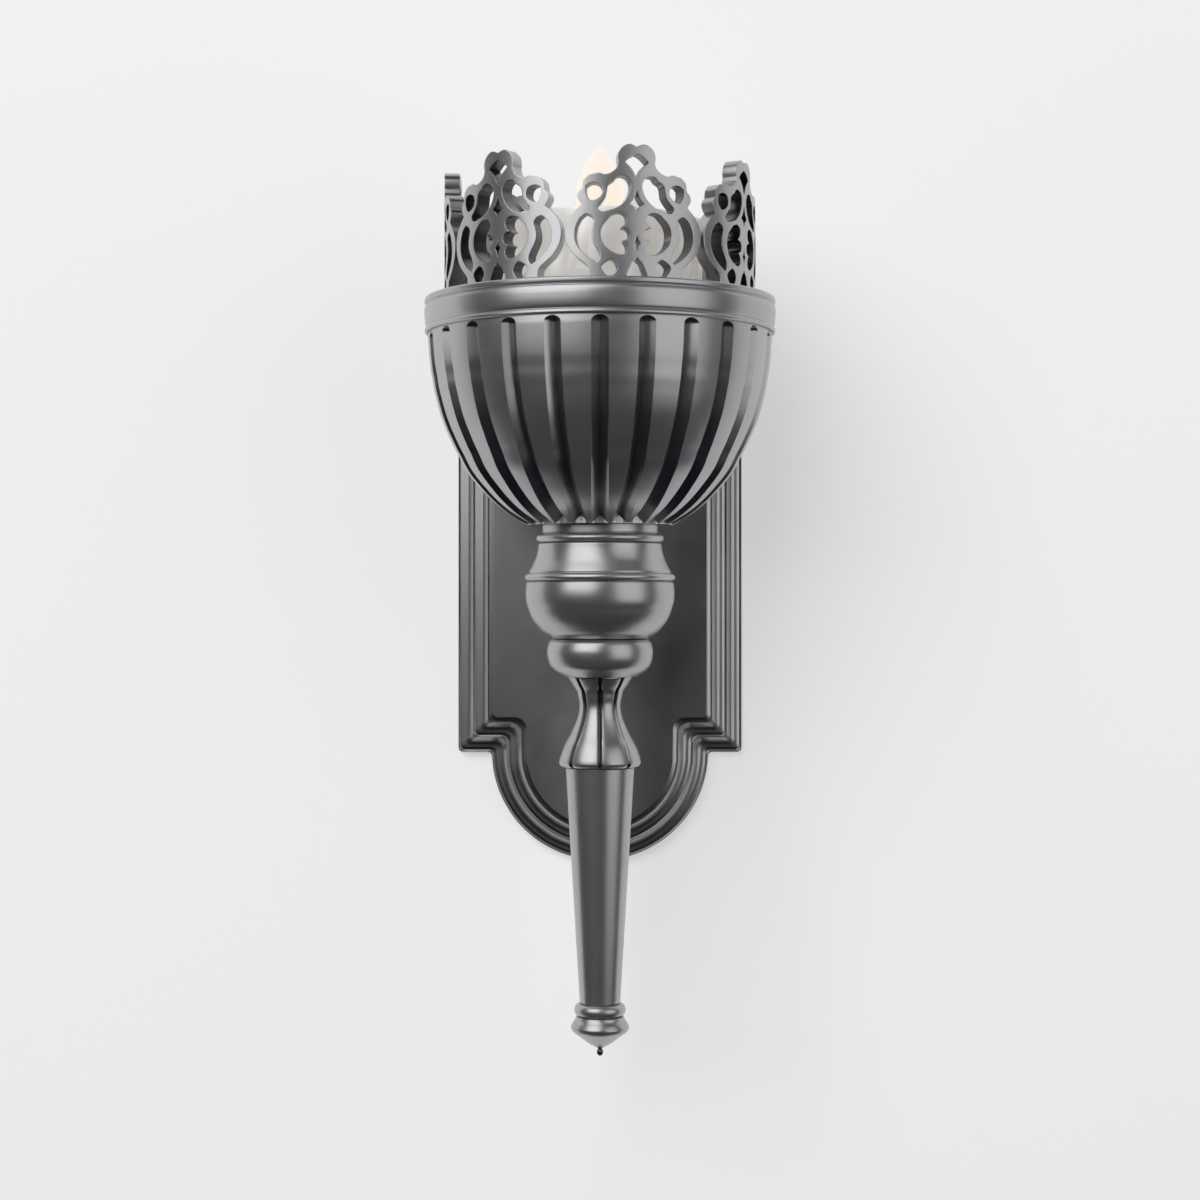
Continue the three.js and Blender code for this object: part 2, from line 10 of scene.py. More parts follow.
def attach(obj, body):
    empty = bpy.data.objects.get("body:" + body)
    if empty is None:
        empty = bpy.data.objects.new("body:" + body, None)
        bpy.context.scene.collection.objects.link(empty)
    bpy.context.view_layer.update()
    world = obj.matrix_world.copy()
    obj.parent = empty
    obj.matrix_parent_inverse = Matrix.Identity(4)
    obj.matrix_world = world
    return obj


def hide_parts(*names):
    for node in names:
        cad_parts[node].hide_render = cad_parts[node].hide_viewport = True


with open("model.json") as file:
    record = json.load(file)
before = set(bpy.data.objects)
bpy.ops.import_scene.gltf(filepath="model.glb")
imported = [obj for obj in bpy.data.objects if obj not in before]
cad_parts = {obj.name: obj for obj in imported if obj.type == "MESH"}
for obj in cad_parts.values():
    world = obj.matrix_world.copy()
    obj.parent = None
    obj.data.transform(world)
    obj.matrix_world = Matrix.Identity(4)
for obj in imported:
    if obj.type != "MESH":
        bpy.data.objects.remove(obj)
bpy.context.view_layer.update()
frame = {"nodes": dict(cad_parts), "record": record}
scene = bpy.context.scene
axisY = -145.0      # torch axis in millimetres; all shapes below are in millimetres too


# Shapes as lists of points

# A smooth curve through points of any dimension.
def throughPoints(points, steps=6):
    first = [2 * a - b for a, b in zip(points[0], points[1])]
    last = [2 * a - b for a, b in zip(points[-1], points[-2])]
    chain = [first, *points, last]
    curve = []
    for p0, p1, p2, p3 in zip(chain, chain[1:], chain[2:], chain[3:]):
        d1, d2, d3 = (math.dist(a, b) ** 0.5 for a, b in ((p0, p1), (p1, p2), (p2, p3)))
        for k in range(steps):
            t = k / steps
            point = []
            for c0, c1, c2, c3 in zip(p0, p1, p2, p3):
                m1 = d2 * ((c1 - c0) / d1 - (c2 - c0) / (d1 + d2) + (c2 - c1) / d2)
                m2 = d2 * ((c2 - c1) / d2 - (c3 - c1) / (d2 + d3) + (c3 - c2) / d3)
                point.append((2 * t**3 - 3 * t**2 + 1) * c1 + (t**3 - 2 * t**2 + t) * m1
                             + (3 * t**2 - 2 * t**3) * c2 + (t**3 - t**2) * m2)
            curve.append(tuple(point))
    curve.append(tuple(points[-1]))
    return curve


# Rounds the corners of a chain of points that turn by more than a limit in degrees.
def softened(points, reach, closed=False, limit=20, steps=3):
    count = len(points)
    result = []
    for i, corner in enumerate(points):
        if not closed and i in (0, count - 1):
            result.append(tuple(corner))
            continue
        here = Vector(corner)
        into = here - Vector(points[i - 1])
        away = Vector(points[(i + 1) % count]) - here
        if into.length < 1e-6 or away.length < 1e-6 or math.degrees(into.angle(away)) < limit:
            result.append(tuple(corner))
            continue
        near = here - into.normalized() * min(reach, 0.45 * into.length)
        far = here + away.normalized() * min(reach, 0.45 * away.length)
        for k in range(steps + 1):
            t = k / steps
            result.append(tuple((1 - t)**2 * near + 2 * t * (1 - t) * here + t**2 * far))
    return result


# A half-round bead on a turned profile, from its upper edge to its lower one.
def bead(radius, middle, halfHeight, depth, steps=8):
    points = []
    for k in range(steps + 1):
        angle = math.pi * (0.5 - k / steps)
        points.append((radius - depth + depth * math.cos(angle), middle + halfHeight * math.sin(angle)))
    return points


# Meshes as (points, faces)

# Joins closed rings of equally many points with bands of quads.
def banded(rings, closed=False):
    count = len(rings[0])
    points = [point for ring in rings for point in ring]
    faces = []
    for r in range(len(rings) if closed else len(rings) - 1):
        low, high = r * count, (r + 1) % len(rings) * count
        for i in range(count):
            j = (i + 1) % count
            faces.append((low + i, low + j, high + j, high + i))
    return points, faces


# Turns a profile of (radius, height) points about the upright axis. A profile that doesn't
# start on the axis is a closed loop.
def turned(profile, segments=96, shape=None):
    closed = profile[0][0] > 1e-6
    rings = []
    for radius, height in profile:
        ring = []
        for i in range(segments):
            angle = 2 * math.pi * i / segments
            r = shape(radius, height, angle) if shape else radius
            ring.append((r * math.sin(angle), -r * math.cos(angle), height))
        rings.append(ring)
    return banded(rings, closed=closed)


# Lays an upright mesh along the arm: what was height above the ground is distance from the wall.
def alongArm(mesh, height=0.0):
    points, faces = mesh
    return [(x, -z, y + height) for x, y, z in points], faces


def joined(*meshes):
    points, faces = [], []
    for morePoints, moreFaces in meshes:
        start = len(points)
        points += morePoints
        faces += [tuple(start + i for i in face) for face in moreFaces]
    return points, faces


# A hexagon nut or head with chamfered corners on one end or both, with or without a bore.
def hexagon(acrossFlats, low, high, bore=0.0, both=True):
    flat = acrossFlats / 2
    chamfer, chamferSlope, mouth, segments = flat * 0.1, 1.8, 0.5, 72

    def corner(radius, height, angle):
        if radius < flat * 0.9:
            return radius
        side = flat / math.cos((angle % (math.pi / 3)) - math.pi / 6)
        fromEnd = min(high - height, height - low) if both else high - height
        return min(side, flat * 0.985 + fromEnd * chamferSlope)

    ends = [chamfer * share for share in (0, 0.35, 0.7, 1, 1.4)]
    outside = [(flat, low + step) for step in ends] + [(flat, high - step) for step in reversed(ends)]
    if bore:
        inside = [(bore + mouth, high), (bore, high - mouth), (bore, low + mouth), (bore + mouth, low)]
        return turned([*outside, *inside], segments, corner)
    return turned([(0, low), *outside, (0, high)], segments, corner)


# A threaded rod: a helical groove wound round a cylinder, which runs out into a plain end over one
# turn. The pitch is drawn a little coarser than the real one so that it shows.
def threaded(radius, low, high, pitch, depth, bore=0.0, segments=32):
    rowsPerTurn, plainDepth, nearZero = 6, 0.8, 0.01
    rows = max(2, int((high - low) / pitch * rowsPerTurn))
    circle = []
    for i in range(segments):
        angle = 2 * math.pi * i / segments
        circle.append((math.sin(angle), -math.cos(angle)))
    rings = []
    for r in range(rows + 1):
        height = low + (high - low) * r / rows
        fade = min(1.0, (r + nearZero) / rowsPerTurn, (rows - r + nearZero) / rowsPerTurn)
        ring = []
        for i, (x, y) in enumerate(circle):
            phase = (height / pitch - i / segments) % 1
            groove = depth * (1 - abs(2 * phase - 1)) * fade + depth * plainDepth * (1 - fade)
            ring.append(((radius - groove) * x, (radius - groove) * y, height))
        rings.append(ring)
    for height in (high, low):
        rings.append([(bore * x, bore * y, height) for x, y in circle])
    return banded(rings, closed=True)


# Outline and holes extruded between two heights with bevelled edges.
def extruded(outlines, thickness, bevel):
    curve = bpy.data.curves.new("outline", "CURVE")
    curve.dimensions = "2D"
    curve.fill_mode = "BOTH"
    curve.extrude = thickness / 2 - bevel
    curve.bevel_depth = bevel
    curve.bevel_resolution = 1
    curve.offset = -bevel
    for outline in outlines:
        spline = curve.splines.new("POLY")
        spline.points.add(len(outline) - 1)
        for point, (x, y) in zip(spline.points, outline):
            point.co = (x, y, 0, 1)
        spline.use_cyclic_u = True
    holder = bpy.data.objects.new("outline", curve)
    scene.collection.objects.link(holder)
    mesh = bpy.data.meshes.new_from_object(holder.evaluated_get(bpy.context.evaluated_depsgraph_get()))
    bpy.data.objects.remove(holder)
    bpy.data.curves.remove(curve)
    return mesh


# Materials

def hexToLinear(code):
    channels = [int(code[i:i + 2], 16) / 255 for i in (0, 2, 4)]
    return [c / 12.92 if c <= 0.04045 else ((c + 0.055) / 1.055) ** 2.4 for c in channels] + [1.0]


# Adds a node with its settings, with numbers or links for its inputs and, on a ramp, with stops
# that are hex colours or plain values.
def addNode(tree, kind, settings={}, inputs={}, stops=()):
    node = tree.nodes.new(kind)
    for name, value in settings.items():
        setattr(node, name, value)
    for name, value in inputs.items():
        if isinstance(value, bpy.types.NodeSocket):
            tree.links.new(value, node.inputs[name])
        else:
            node.inputs[name].default_value = value
    for i, (position, tone) in enumerate(stops):
        stop = node.color_ramp.elements[i] if i < 2 else node.color_ramp.elements.new(position)
        stop.position = position
        stop.color = hexToLinear(tone) if isinstance(tone, str) else [tone] * 3 + [1.0]
    return node


def newMaterial(name, **shaderInputs):
    material = bpy.data.materials.new(name)
    material.use_nodes = True
    tree = material.node_tree
    tree.nodes.clear()
    shader = addNode(tree, "ShaderNodeBsdfPrincipled", inputs=shaderInputs)
    output = addNode(tree, "ShaderNodeOutputMaterial", inputs={"Surface": shader.outputs[0]})
    return material, tree, shader, output


# Clouds with a grain in millimetres, squeezed along an axis where its stretch is more than 1.
def clouds(tree, grain, detail, stretch=(1, 1, 1)):
    place = addNode(tree, "ShaderNodeTexCoord").outputs["Object"]
    if stretch != (1, 1, 1):
        squeeze = {0: place, 1: stretch}
        place = addNode(tree, "ShaderNodeVectorMath", {"operation": "MULTIPLY"}, squeeze).outputs[0]
    inputs = {"Vector": place, "Scale": 1000 / grain, "Detail": detail, "Roughness": 0.55}
    return addNode(tree, "ShaderNodeTexNoise", {"noise_dimensions": "3D"}, inputs).outputs["Fac"]


# Clouds that pass through two or more tones or values.
def mottled(tree, tones, *grain):
    low, high = 0.3, 0.7
    stops = [(low + (high - low) * i / (len(tones) - 1), tone) for i, tone in enumerate(tones)]
    ramp = addNode(tree, "ShaderNodeValToRGB", inputs={"Fac": clouds(tree, *grain)}, stops=stops)
    return ramp.outputs["Color"]


# A finish from its recipe. What is the same all over is set on the shader itself, and tone, gloss
# and dimples are clouds, each with its own grain and detail. A dimple's depth is in millimetres.
def finished(recipe):
    material, tree, shader, _ = newMaterial(recipe["name"], **recipe["even"])
    for part, socket in (("tone", "Base Color"), ("gloss", "Roughness")):
        if part in recipe:
            tree.links.new(mottled(tree, *recipe[part]), shader.inputs[socket])
    strength, depth, *grain = recipe["dimples"]
    relief = {"Height": clouds(tree, *grain), "Strength": strength, "Distance": depth / 1000}
    tree.links.new(addNode(tree, "ShaderNodeBump", inputs=relief).outputs["Normal"], shader.inputs["Normal"])
    return material, tree, shader


# Graphite plated casting: mid grey metal with a soft sheen, under a trace of dull film where it lies open.
# A faint orange peel and a slow change of tone keep its broad reflections from looking drawn. Its arrises
# are lighter, partly rubbed plating and partly a painted highlight, and creases and faces marked as a recess
# are darkened with painted shade.
graphite = {"name": "graphite_plated_casting", "even": {}, "gloss": ([0.3, 0.34], 14, 4),
            "dimples": (0.06, 0.1, 1.6, 2), "plated": (["b0b0b1", "b7b7b8"], 60, 3), "film": 0.88,
            "paintedShadeColour": "58585c", "darkest": 0.95, "rubAndHighlight": "d2d2d3", "rubAndHighlightShare": 0.4}


def graphiteCasting():
    material, tree, shader = finished(graphite)
    edge = addNode(tree, "ShaderNodeNewGeometry").outputs["Pointiness"]
    marked = addNode(tree, "ShaderNodeAttribute", {"attribute_name": "recess"}).outputs["Fac"]
    # Painted shade in concave creases, found from pointiness.
    crease = addNode(tree, "ShaderNodeValToRGB", inputs={"Fac": edge}, stops=[(0.4, 1.0), (0.48, 0.0)])
    deeper = addNode(tree, "ShaderNodeMath", {"operation": "MAXIMUM"}, {0: marked, 1: crease.outputs[0]})
    recess = deeper.outputs[0]
    bare = addNode(tree, "ShaderNodeValToRGB", inputs={"Fac": recess},
                   stops=[(0.0, graphite["film"]), (0.5, 1.0)])
    tree.links.new(bare.outputs[0], shader.inputs["Metallic"])
    shade = addNode(tree, "ShaderNodeMapRange",
                    inputs={"Value": recess, "From Min": 0.5, "To Max": graphite["darkest"]})
    paintedShadeTone = addNode(tree, "ShaderNodeMix", {"data_type": "RGBA"},
                   {0: shade.outputs[0], 6: mottled(tree, *graphite["plated"]),
                    7: hexToLinear(graphite["paintedShadeColour"])})
    # Convex arrises are lightened: rubbed plating together with a painted highlight.
    edgeWearAndHighlight = addNode(tree, "ShaderNodeValToRGB", inputs={"Fac": edge},
                   stops=[(0.52, 0.0), (0.6, graphite["rubAndHighlightShare"])])
    edgeWornAndHighlit = addNode(tree, "ShaderNodeMix", {"data_type": "RGBA"},
                   {0: edgeWearAndHighlight.outputs[0], 6: paintedShadeTone.outputs[2], 7: hexToLinear(graphite["rubAndHighlight"])})
    tree.links.new(edgeWornAndHighlit.outputs[2], shader.inputs["Base Color"])
    return material


# Darkened steel tube: fine turning marks run round it.
turningMarks = (6, 3, (1, 14, 14))
darkSteel = {"name": "darkened_steel_tube", "even": {"Metallic": 1.0},
             "tone": (["626265", "727275"], *turningMarks), "gloss": ([0.24, 0.34], *turningMarks),
             "dimples": (0.1, 0.05, *turningMarks)}

# Zinc plated steel: bright cool grey with cloudy passivation and small tumbling marks.
zincSteel = {"name": "zinc_plated_steel", "even": {"Metallic": 1.0},
             "tone": (["a9aeb2", "bcbfbf", "c5c2b6"], 9, 4), "gloss": ([0.28, 0.42], 2, 4),
             "dimples": (0.12, 0.05, 0.8, 3)}

# Green paint on the ground screw, thin enough to show small runs.
greenScrew = {"name": "green_painted_screw", "even": {"Coat Weight": 0.3},
              "tone": (["25683c", "338350"], 3, 3), "gloss": ([0.3, 0.5], 1.2, 2),
              "dimples": (0.2, 0.1, 1.5, 2)}

# Nickel plated brass: warm bright metal with handling marks.
nickelBrass = {"name": "nickel_plated_brass", "even": {"Metallic": 1.0},
               "tone": (["c3beb4", "d6d2c9"], 7, 3), "gloss": ([0.16, 0.3], 1.5, 4),
               "dimples": (0.08, 0.05, 1, 3)}

# Ivory moulded sleeve: matt with a slight glow through its thin wall.
ivorySleeve = {"name": "moulded_ivory_sleeve",
               "even": {"Subsurface Weight": 0.2, "Subsurface Radius": (0.003, 0.002, 0.001),
                        "Subsurface Scale": 1.0},
               "tone": (["e6dfcd", "eee9db"], 20, 3), "gloss": ([0.42, 0.55], 1.2, 2),
               "dimples": (0.12, 0.06, 0.9, 2)}

# Black phenolic moulding: nearly black with a mottled half gloss.
blackPhenolic = {"name": "moulded_black_phenolic", "even": {}, "tone": (["161617", "242322"], 4, 4),
                 "gloss": ([0.35, 0.5], 2, 3), "dimples": (0.15, 0.06, 0.8, 2)}

# Blown opal glass: milky white right through, with a painted glow that stands in for the bulb's light
# through it and lifts the crown's shade on it, and a glassy skin that waves very slightly.
opalGlass = {"name": "blown_opal_glass",
             "even": {"Subsurface Weight": 0.35, "Subsurface Radius": (0.006, 0.006, 0.005),
                      "Subsurface Scale": 1.0, "IOR": 1.52, "Emission Color": hexToLinear("fff8f1"),
                      "Emission Strength": 0.22},
             "tone": (["e4e4e2", "eaeae8"], 45, 2), "gloss": ([0.05, 0.09], 8, 2),
             "dimples": (0.15, 0.3, 30, 1)}

# Lit frosted bulb: warm white light, a shade warmer towards its foot, under a satin glass skin.
# The glow changes between two heights in metres.
litBulb = {"name": "lit_frosted_bulb",
           "even": {"Base Color": hexToLinear("3a3834"), "Roughness": 0.5, "IOR": 1.5,
                    "Emission Strength": 0.95, "Specular IOR Level": 0.2},
           "dimples": (0.1, 0.03, 0.7, 2), "low": 0.23, "high": 0.31,
           "glow": [(0.0, "f6dfc2"), (0.5, "fdf0e1"), (1.0, "fdf2e7")]}


def bulbGlass():
    material, tree, shader = finished(litBulb)
    place = addNode(tree, "ShaderNodeTexCoord").outputs["Object"]
    height = addNode(tree, "ShaderNodeSeparateXYZ", inputs={0: place}).outputs["Z"]
    along = addNode(tree, "ShaderNodeMapRange",
                    inputs={"Value": height, "From Min": litBulb["low"], "From Max": litBulb["high"]})
    glow = addNode(tree, "ShaderNodeValToRGB", inputs={"Fac": along.outputs[0]}, stops=litBulb["glow"])
    tree.links.new(glow.outputs["Color"], shader.inputs["Emission Color"])
    return material


materials = {"graphite_casting": graphiteCasting(), "bulb_glass": bulbGlass()}
for key, recipe in (("dark_steel", darkSteel), ("zinc_steel", zincSteel), ("green_screw", greenScrew),
                    ("nickel", nickelBrass), ("ivory_sleeve", ivorySleeve),
                    ("black_phenolic", blackPhenolic), ("opal_glass", opalGlass)):
    materials[key] = finished(recipe)[0]

# Every CAD node starts with the material of its slot; those not replaced below keep it.
slotOf = {}
for part in frame["record"]["subparts"]:
    slotOf[part["node"]] = part["material_slot"]
for nodeName, node in frame["nodes"].items():
    node.data.materials.clear()
    node.data.materials.append(materials[slotOf[nodeName]])
print("materials:", len(materials))


# Makes an object of a mesh in millimetres, smooth between its arrises, in the place of a node.
def addPiece(name, mesh, nodes, body="fixture", sharp=38, slot=None, onAxis=False):
    if isinstance(mesh, bpy.types.Mesh):
        data = mesh
        data.name = name
    else:
        data = bpy.data.meshes.new(name)
        data.from_pydata(mesh[0], [], mesh[1])
    work = bmesh.new()
    work.from_mesh(data)
    shift = Vector((0, axisY if onAxis else 0, 0))
    for vertex in work.verts:
        vertex.co = (vertex.co + shift) / 1000
    bmesh.ops.remove_doubles(work, verts=work.verts, dist=2e-6)
    bmesh.ops.recalc_face_normals(work, faces=work.faces)
    work.to_mesh(data)
    work.free()
    data.shade_smooth()
    data.set_sharp_from_angle(angle=math.radians(sharp))
    piece = bpy.data.objects.new(name, data)
    scene.collection.objects.link(piece)
    weighting = piece.modifiers.new("weighted", "WEIGHTED_NORMAL")
    weighting.keep_sharp = True
    slotName = slot or slotOf[nodes[0]]
    data.materials.clear()
    data.materials.append(materials[slotName])
    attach(piece, body)
    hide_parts(*nodes)
    return piece


# Gives each face of a mesh its share of recess: 0 on open faces, 0.5 without the dull film and so with less
# diffuse light, and above that painted shade that darkens its colour, up to 1 in the darkest holes.
def markRecess(data, shareOf):
    marks = [shareOf(face.center, face.normal) for face in data.polygons]
    data.attributes.new("recess", "FLOAT", "FACE").data.foreach_set("value", marks)


# Marks the walls of upright grooves in a round piece, which look sideways, along its round, with a share of
# recess that darkens them as painted shade.
def markGrooves(data, share):
    sideways = 0.36

    def shareOf(centre, normal):
        away = Vector((centre.x, centre.y - axisY / 1000)).normalized()
        return share if abs(normal.x * away.y - normal.y * away.x) > sideways else 0.0

    markRecess(data, shareOf)


# Backplate: a stepped escutcheon, hollow behind

plate = {"side": 105.8, "shoulder": 113.5, "round": 80.8, "corner": 3.6, "hollow": 3.0,
         "hollowGrowth": 0.22, "tier": 11.1, "edge": 5.5, "rise": 4.7, "field": 18.0, "wall": 4.0,
         "studHeight": 85, "armHole": 11.8, "studHole": 2.4, "lip": 0.4, "slopeShare": 0.5,
         "fieldShare": 0.38}
# One tier's profile from its outer edge inwards, as (inset, height above the tier's base)
tierSteps = [(0, 0.6), (0.2, 0.8), (0.4, 0.85), (0.65, 0.75), (0.95, 0.3), (1.3, -0.05), (1.8, -0.1),
             (2.2, 0.0), (2.5, 0.12), (3.5, 0.45), (3.8, 0.5), (5.6, 0.68), (5.9, 0.74), (6.9, 1.06),
             (7.2, 1.12), (7.6, 1.14), (7.9, 1.4), (8.3, 1.85), (10.8, 4.98)]


# The plate's outline moved inwards by an inset, at a height above the wall. Its hollow corners grow
# a little towards the field.
def plateRing(inset, height):
    side, shoulder, rounded = plate["side"] - inset, plate["shoulder"] - inset, plate["round"] - inset
    corner = plate["corner"]
    hollow = plate["hollow"] + plate["hollowGrowth"] * inset
    quarter = []

    def arc(x, z, radius, start, end, steps):
        for k in range(steps + 1):
            angle = math.radians(start + (end - start) * k / steps)
            quarter.append((x + radius * math.cos(angle), z + radius * math.sin(angle)))

    arc(side - corner, shoulder - corner, corner, 0, 90, 6)
    arc(rounded + hollow, shoulder + hollow, hollow, 270, 180, 8)
    arc(0, plate["shoulder"], rounded, 6, 90, 48)
    upper = quarter + [(-x, z) for x, z in reversed(quarter[:-1])]
    ring = upper + [(x, -z) for x, z in reversed(upper)]
    return [(x, -height, z) for x, z in ring]


def plateMesh():
    back, field, lip = plate["field"] - plate["wall"], plate["field"], plate["lip"]
    profile = [(plate["tier"] * 3 - 3, back), (5.2, 3.0), (4.2, 0.3), (3.9, 0.05), (0.4, 0.05),
               (0.1, 0.35), (0, 0.8), (0, plate["edge"])]
    for tier in range(2):
        base = plate["edge"] + tier * plate["rise"]
        profile += [(tier * plate["tier"] + inset, base + rise) for inset, rise in tierSteps]
    base = plate["edge"] + 2 * plate["rise"]
    inner = 2 * plate["tier"]
    profile += [(inner + inset, base + rise) for inset, rise in tierSteps[:6]]
    profile += [(inner + inset, base + rise) for inset, rise in ((1.45, 0), (1.7, 1.75), (1.9, 2.0),
                                                                 (3.4, 2.5), (3.7, 2.8))]
    profile += [(inner + inset, field) for inset in (4.2, 4.6, 5.2)]
    rings = [plateRing(inset, height) for inset, height in profile]
    points, faces = banded(rings)
    # Holes for the arm and the studs, as (height, radius, segments)
    holes = [(0, plate["armHole"], 40), (plate["studHeight"], plate["studHole"], 24),
             (-plate["studHeight"], plate["studHole"], 24)]
    count = len(rings[0])
    starts = []
    # Each hole has circles at the back and the front, and two wider ones that keep its edge crisp.
    for depth, wider in ((back, 0), (field, 0), (field, lip), (field, 2 * lip)):
        starts.append(len(points))
        for z, radius, segments in holes:
            for k in range(segments):
                angle = 2 * math.pi * k / segments
                points.append(((radius + wider) * math.cos(angle), -depth,
                               z + (radius + wider) * math.sin(angle)))
    for start, ringStart in ((starts[0], 0), (starts[-1], (len(rings) - 1) * count)):
        loops = [list(range(ringStart, ringStart + count))]
        for _, _, segments in holes:
            loops.append(list(range(start, start + segments)))
            start += segments
        flat = [[Vector((points[i][0], points[i][2], 0)) for i in loop] for loop in loops]
        order = [i for loop in loops for i in loop]
        faces += [tuple(order[i] for i in triangle) for triangle in tessellate_polygon(flat)]
    lift = starts[1] - starts[0]
    for start in starts[:-1]:
        for _, _, segments in holes:
            for k in range(segments):
                a, b = start + k, start + (k + 1) % segments
                faces.append((a, b, b + lift, a + lift))
            start += segments
    return points, faces


platePiece = addPiece("plateCasting", plateMesh(), ["backplate"], sharp=50)


# The border's slopes lose the dull film and the flat field keeps only some of it, so both take less diffuse
# light and read darker, as painted shade.
def plateShare(centre, normal):
    return plate["slopeShare"] if abs(normal.y) < 0.99 else plate["fieldShare"]


markRecess(platePiece.data, plateShare)

# Strap behind the plate. Its slots take two screws at the pitch of a junction box.
strap = {"half": 13, "end": 100, "corner": 5, "thickness": 2.5, "bevel": 0.35, "slotPitch": 89,
         "slotHalf": 2.8, "slotReach": 5, "hole": 2.4, "groundHeight": 22}


def strapMesh():
    corner, slotHalf, hole, step = strap["corner"], strap["slotHalf"], strap["hole"], 15
    x, y = strap["half"] - corner, strap["end"] - corner
    outline = []
    for cornerX, cornerY, start in ((x, y, 0), (-x, y, 90), (-x, -y, 180), (x, -y, 270)):
        for turn in range(start, start + 91, step):
            angle = math.radians(turn)
            outline.append((cornerX + corner * math.cos(angle), cornerY + corner * math.sin(angle)))
    outlines = [outline]
    for middle in (strap["slotPitch"] / 2, -strap["slotPitch"] / 2):
        slot = []
        for lift, start in ((strap["slotReach"], 0), (-strap["slotReach"], 180)):
            for turn in range(start, start + 181, step):
                angle = math.radians(turn)
                slot.append((slotHalf * math.cos(angle), middle + lift + slotHalf * math.sin(angle)))
        outlines.append(slot)
    for height in (plate["studHeight"], -plate["studHeight"], strap["groundHeight"]):
        outlines.append([(hole * math.cos(math.radians(turn)), height + hole * math.sin(math.radians(turn)))
                         for turn in range(0, 360, step)])
    mesh = extruded(outlines, strap["thickness"], strap["bevel"])
    for vertex in mesh.vertices:
        x, y, z = vertex.co
        vertex.co = (x, -(z + strap["thickness"] / 2), y)
    return mesh


addPiece("strapPressing", strapMesh(), ["wall_strap"])

# Studs with a nut behind the plate and a domed cap nut in front of it, and the ground screw
smallThread = {"pitch": 0.9, "depth": 0.3, "segments": 24}
for side, sign in (("upper", 1), ("lower", -1)):
    height = sign * plate["studHeight"]
    stud = joined(threaded(2, low=0.1, high=24.4, **smallThread), hexagon(7.8, low=2.8, high=5.5, bore=1.9))
    addPiece(f"stud_{side}", alongArm(stud, height), [f"plate_stud_{side}"], sharp=30)
    dome = throughPoints([(5.3, 22.9), (5.15, 24.4), (4.3, 26.3), (2.7, 27.6), (0, 28)], 5)
    cap = joined(hexagon(11, low=18.3, high=23.0), turned([(0, 22.6), (5.3, 22.6), *dome], 48))
    addPiece(f"capNut_{side}", alongArm(cap, height), [f"cap_nut_{side}"], sharp=30)

screw = joined(threaded(1.8, low=0.2, high=3.0, **smallThread), hexagon(7.6, low=3.5, high=5.5, both=False),
               turned(softened([(0, 2.8), (4.6, 2.8), (4.6, 3.5), (0, 3.6)], 0.2), 48))
addPiece("groundScrew", alongArm(screw, strap["groundHeight"]), ["ground_screw"], sharp=30)
print("backplate and fixings done")


# Arm with its rosette, collar and fixings, as (radius, distance from the wall)

arm = {"radius": 11.5, "bore": 9.0, "start": 7.0, "end": 128.0, "hole": 11.8}
tube = [(arm["radius"], arm["start"]), (arm["radius"], arm["end"]), (arm["bore"], arm["end"]),
        (arm["bore"], arm["start"])]
addPiece("armTube", alongArm(turned(softened(tube, 0.5, closed=True), 80)), ["arm_tube"])

rosette = [(36, 18.3), (36, 20.6), (35.4, 21.2), (34.4, 21.5), (33.6, 22.2)]
rosette += throughPoints([(33.2, 22.9), (30, 23.6), (26, 24.9), (22.6, 27.4), (20.6, 30.3)])
rosette += [(19.9, 31.1), (20.2, 32.2), (20.2, 33.4), (19.5, 34.6), (18, 35.7), (arm["hole"], 35.7),
            (arm["hole"], 18.3)]
addPiece("armRosette", alongArm(turned(softened(rosette, 0.4, closed=True), 112)), ["arm_flange"])

washer = [(24, 11.7), (24, 13.7), (arm["hole"], 13.7), (arm["hole"], 11.7)]
addPiece("armWasher", alongArm(turned(softened(washer, 0.3, closed=True), 64)), ["arm_washer"])
addPiece("armLocknut", alongArm(hexagon(34, low=7.4, high=11.4, bore=arm["hole"])), ["arm_locknut"],
         sharp=30)

# Turned profiles of the torch, top to bottom, as (radius, height)
knopProfile = throughPoints(
    [(50.3, 12.0), (50.9, 6.5), (50.9, 1.7), (50.3, -2.4), (49, -6.5), (47.6, -10.6), (45.5, -14.7),
     (42.5, -18.8), (38.7, -22.9), (33, -26.4)], 5)


# Radius of the knop at a height above or below the arm.
def knopRadiusAt(height):
    for (r1, z1), (r2, z2) in zip(knopProfile, knopProfile[1:]):
        if z2 <= height <= z1:
            return r1 + (r2 - r1) * (height - z1) / (z2 - z1)
    return knopProfile[0][0] if height > 0 else knopProfile[-1][0]


# The collar's last ring follows the knop, a little way into it.
def collarMesh():
    segments, end, sink = 96, 99, 0.6
    profile = softened([(arm["hole"], 85), (17, 85), (19.2, 86.2), (20.5, 88.2), (20.5, 90.6),
                        (19.2, 92.4), (18, 93.2), (18, end)], 0.5)
    points, faces = turned([(arm["hole"], end), *profile], segments)
    for i in range(len(points) - segments, len(points)):
        x, across, _ = points[i]
        points[i] = (x, across, -axisY - math.sqrt(knopRadiusAt(across) ** 2 - x * x) + sink)
    return points, faces


addPiece("armCollar", alongArm(collarMesh()), ["arm_collar"])
print("arm done")


# Stem of the torch

stemBore = 5.3
knop = [(stemBore, -26.4), (stemBore, 12.0)] + knopProfile
addPiece("knopCasting", turned(softened(knop, 0.4, closed=True), 160), ["knop"], onAxis=True)

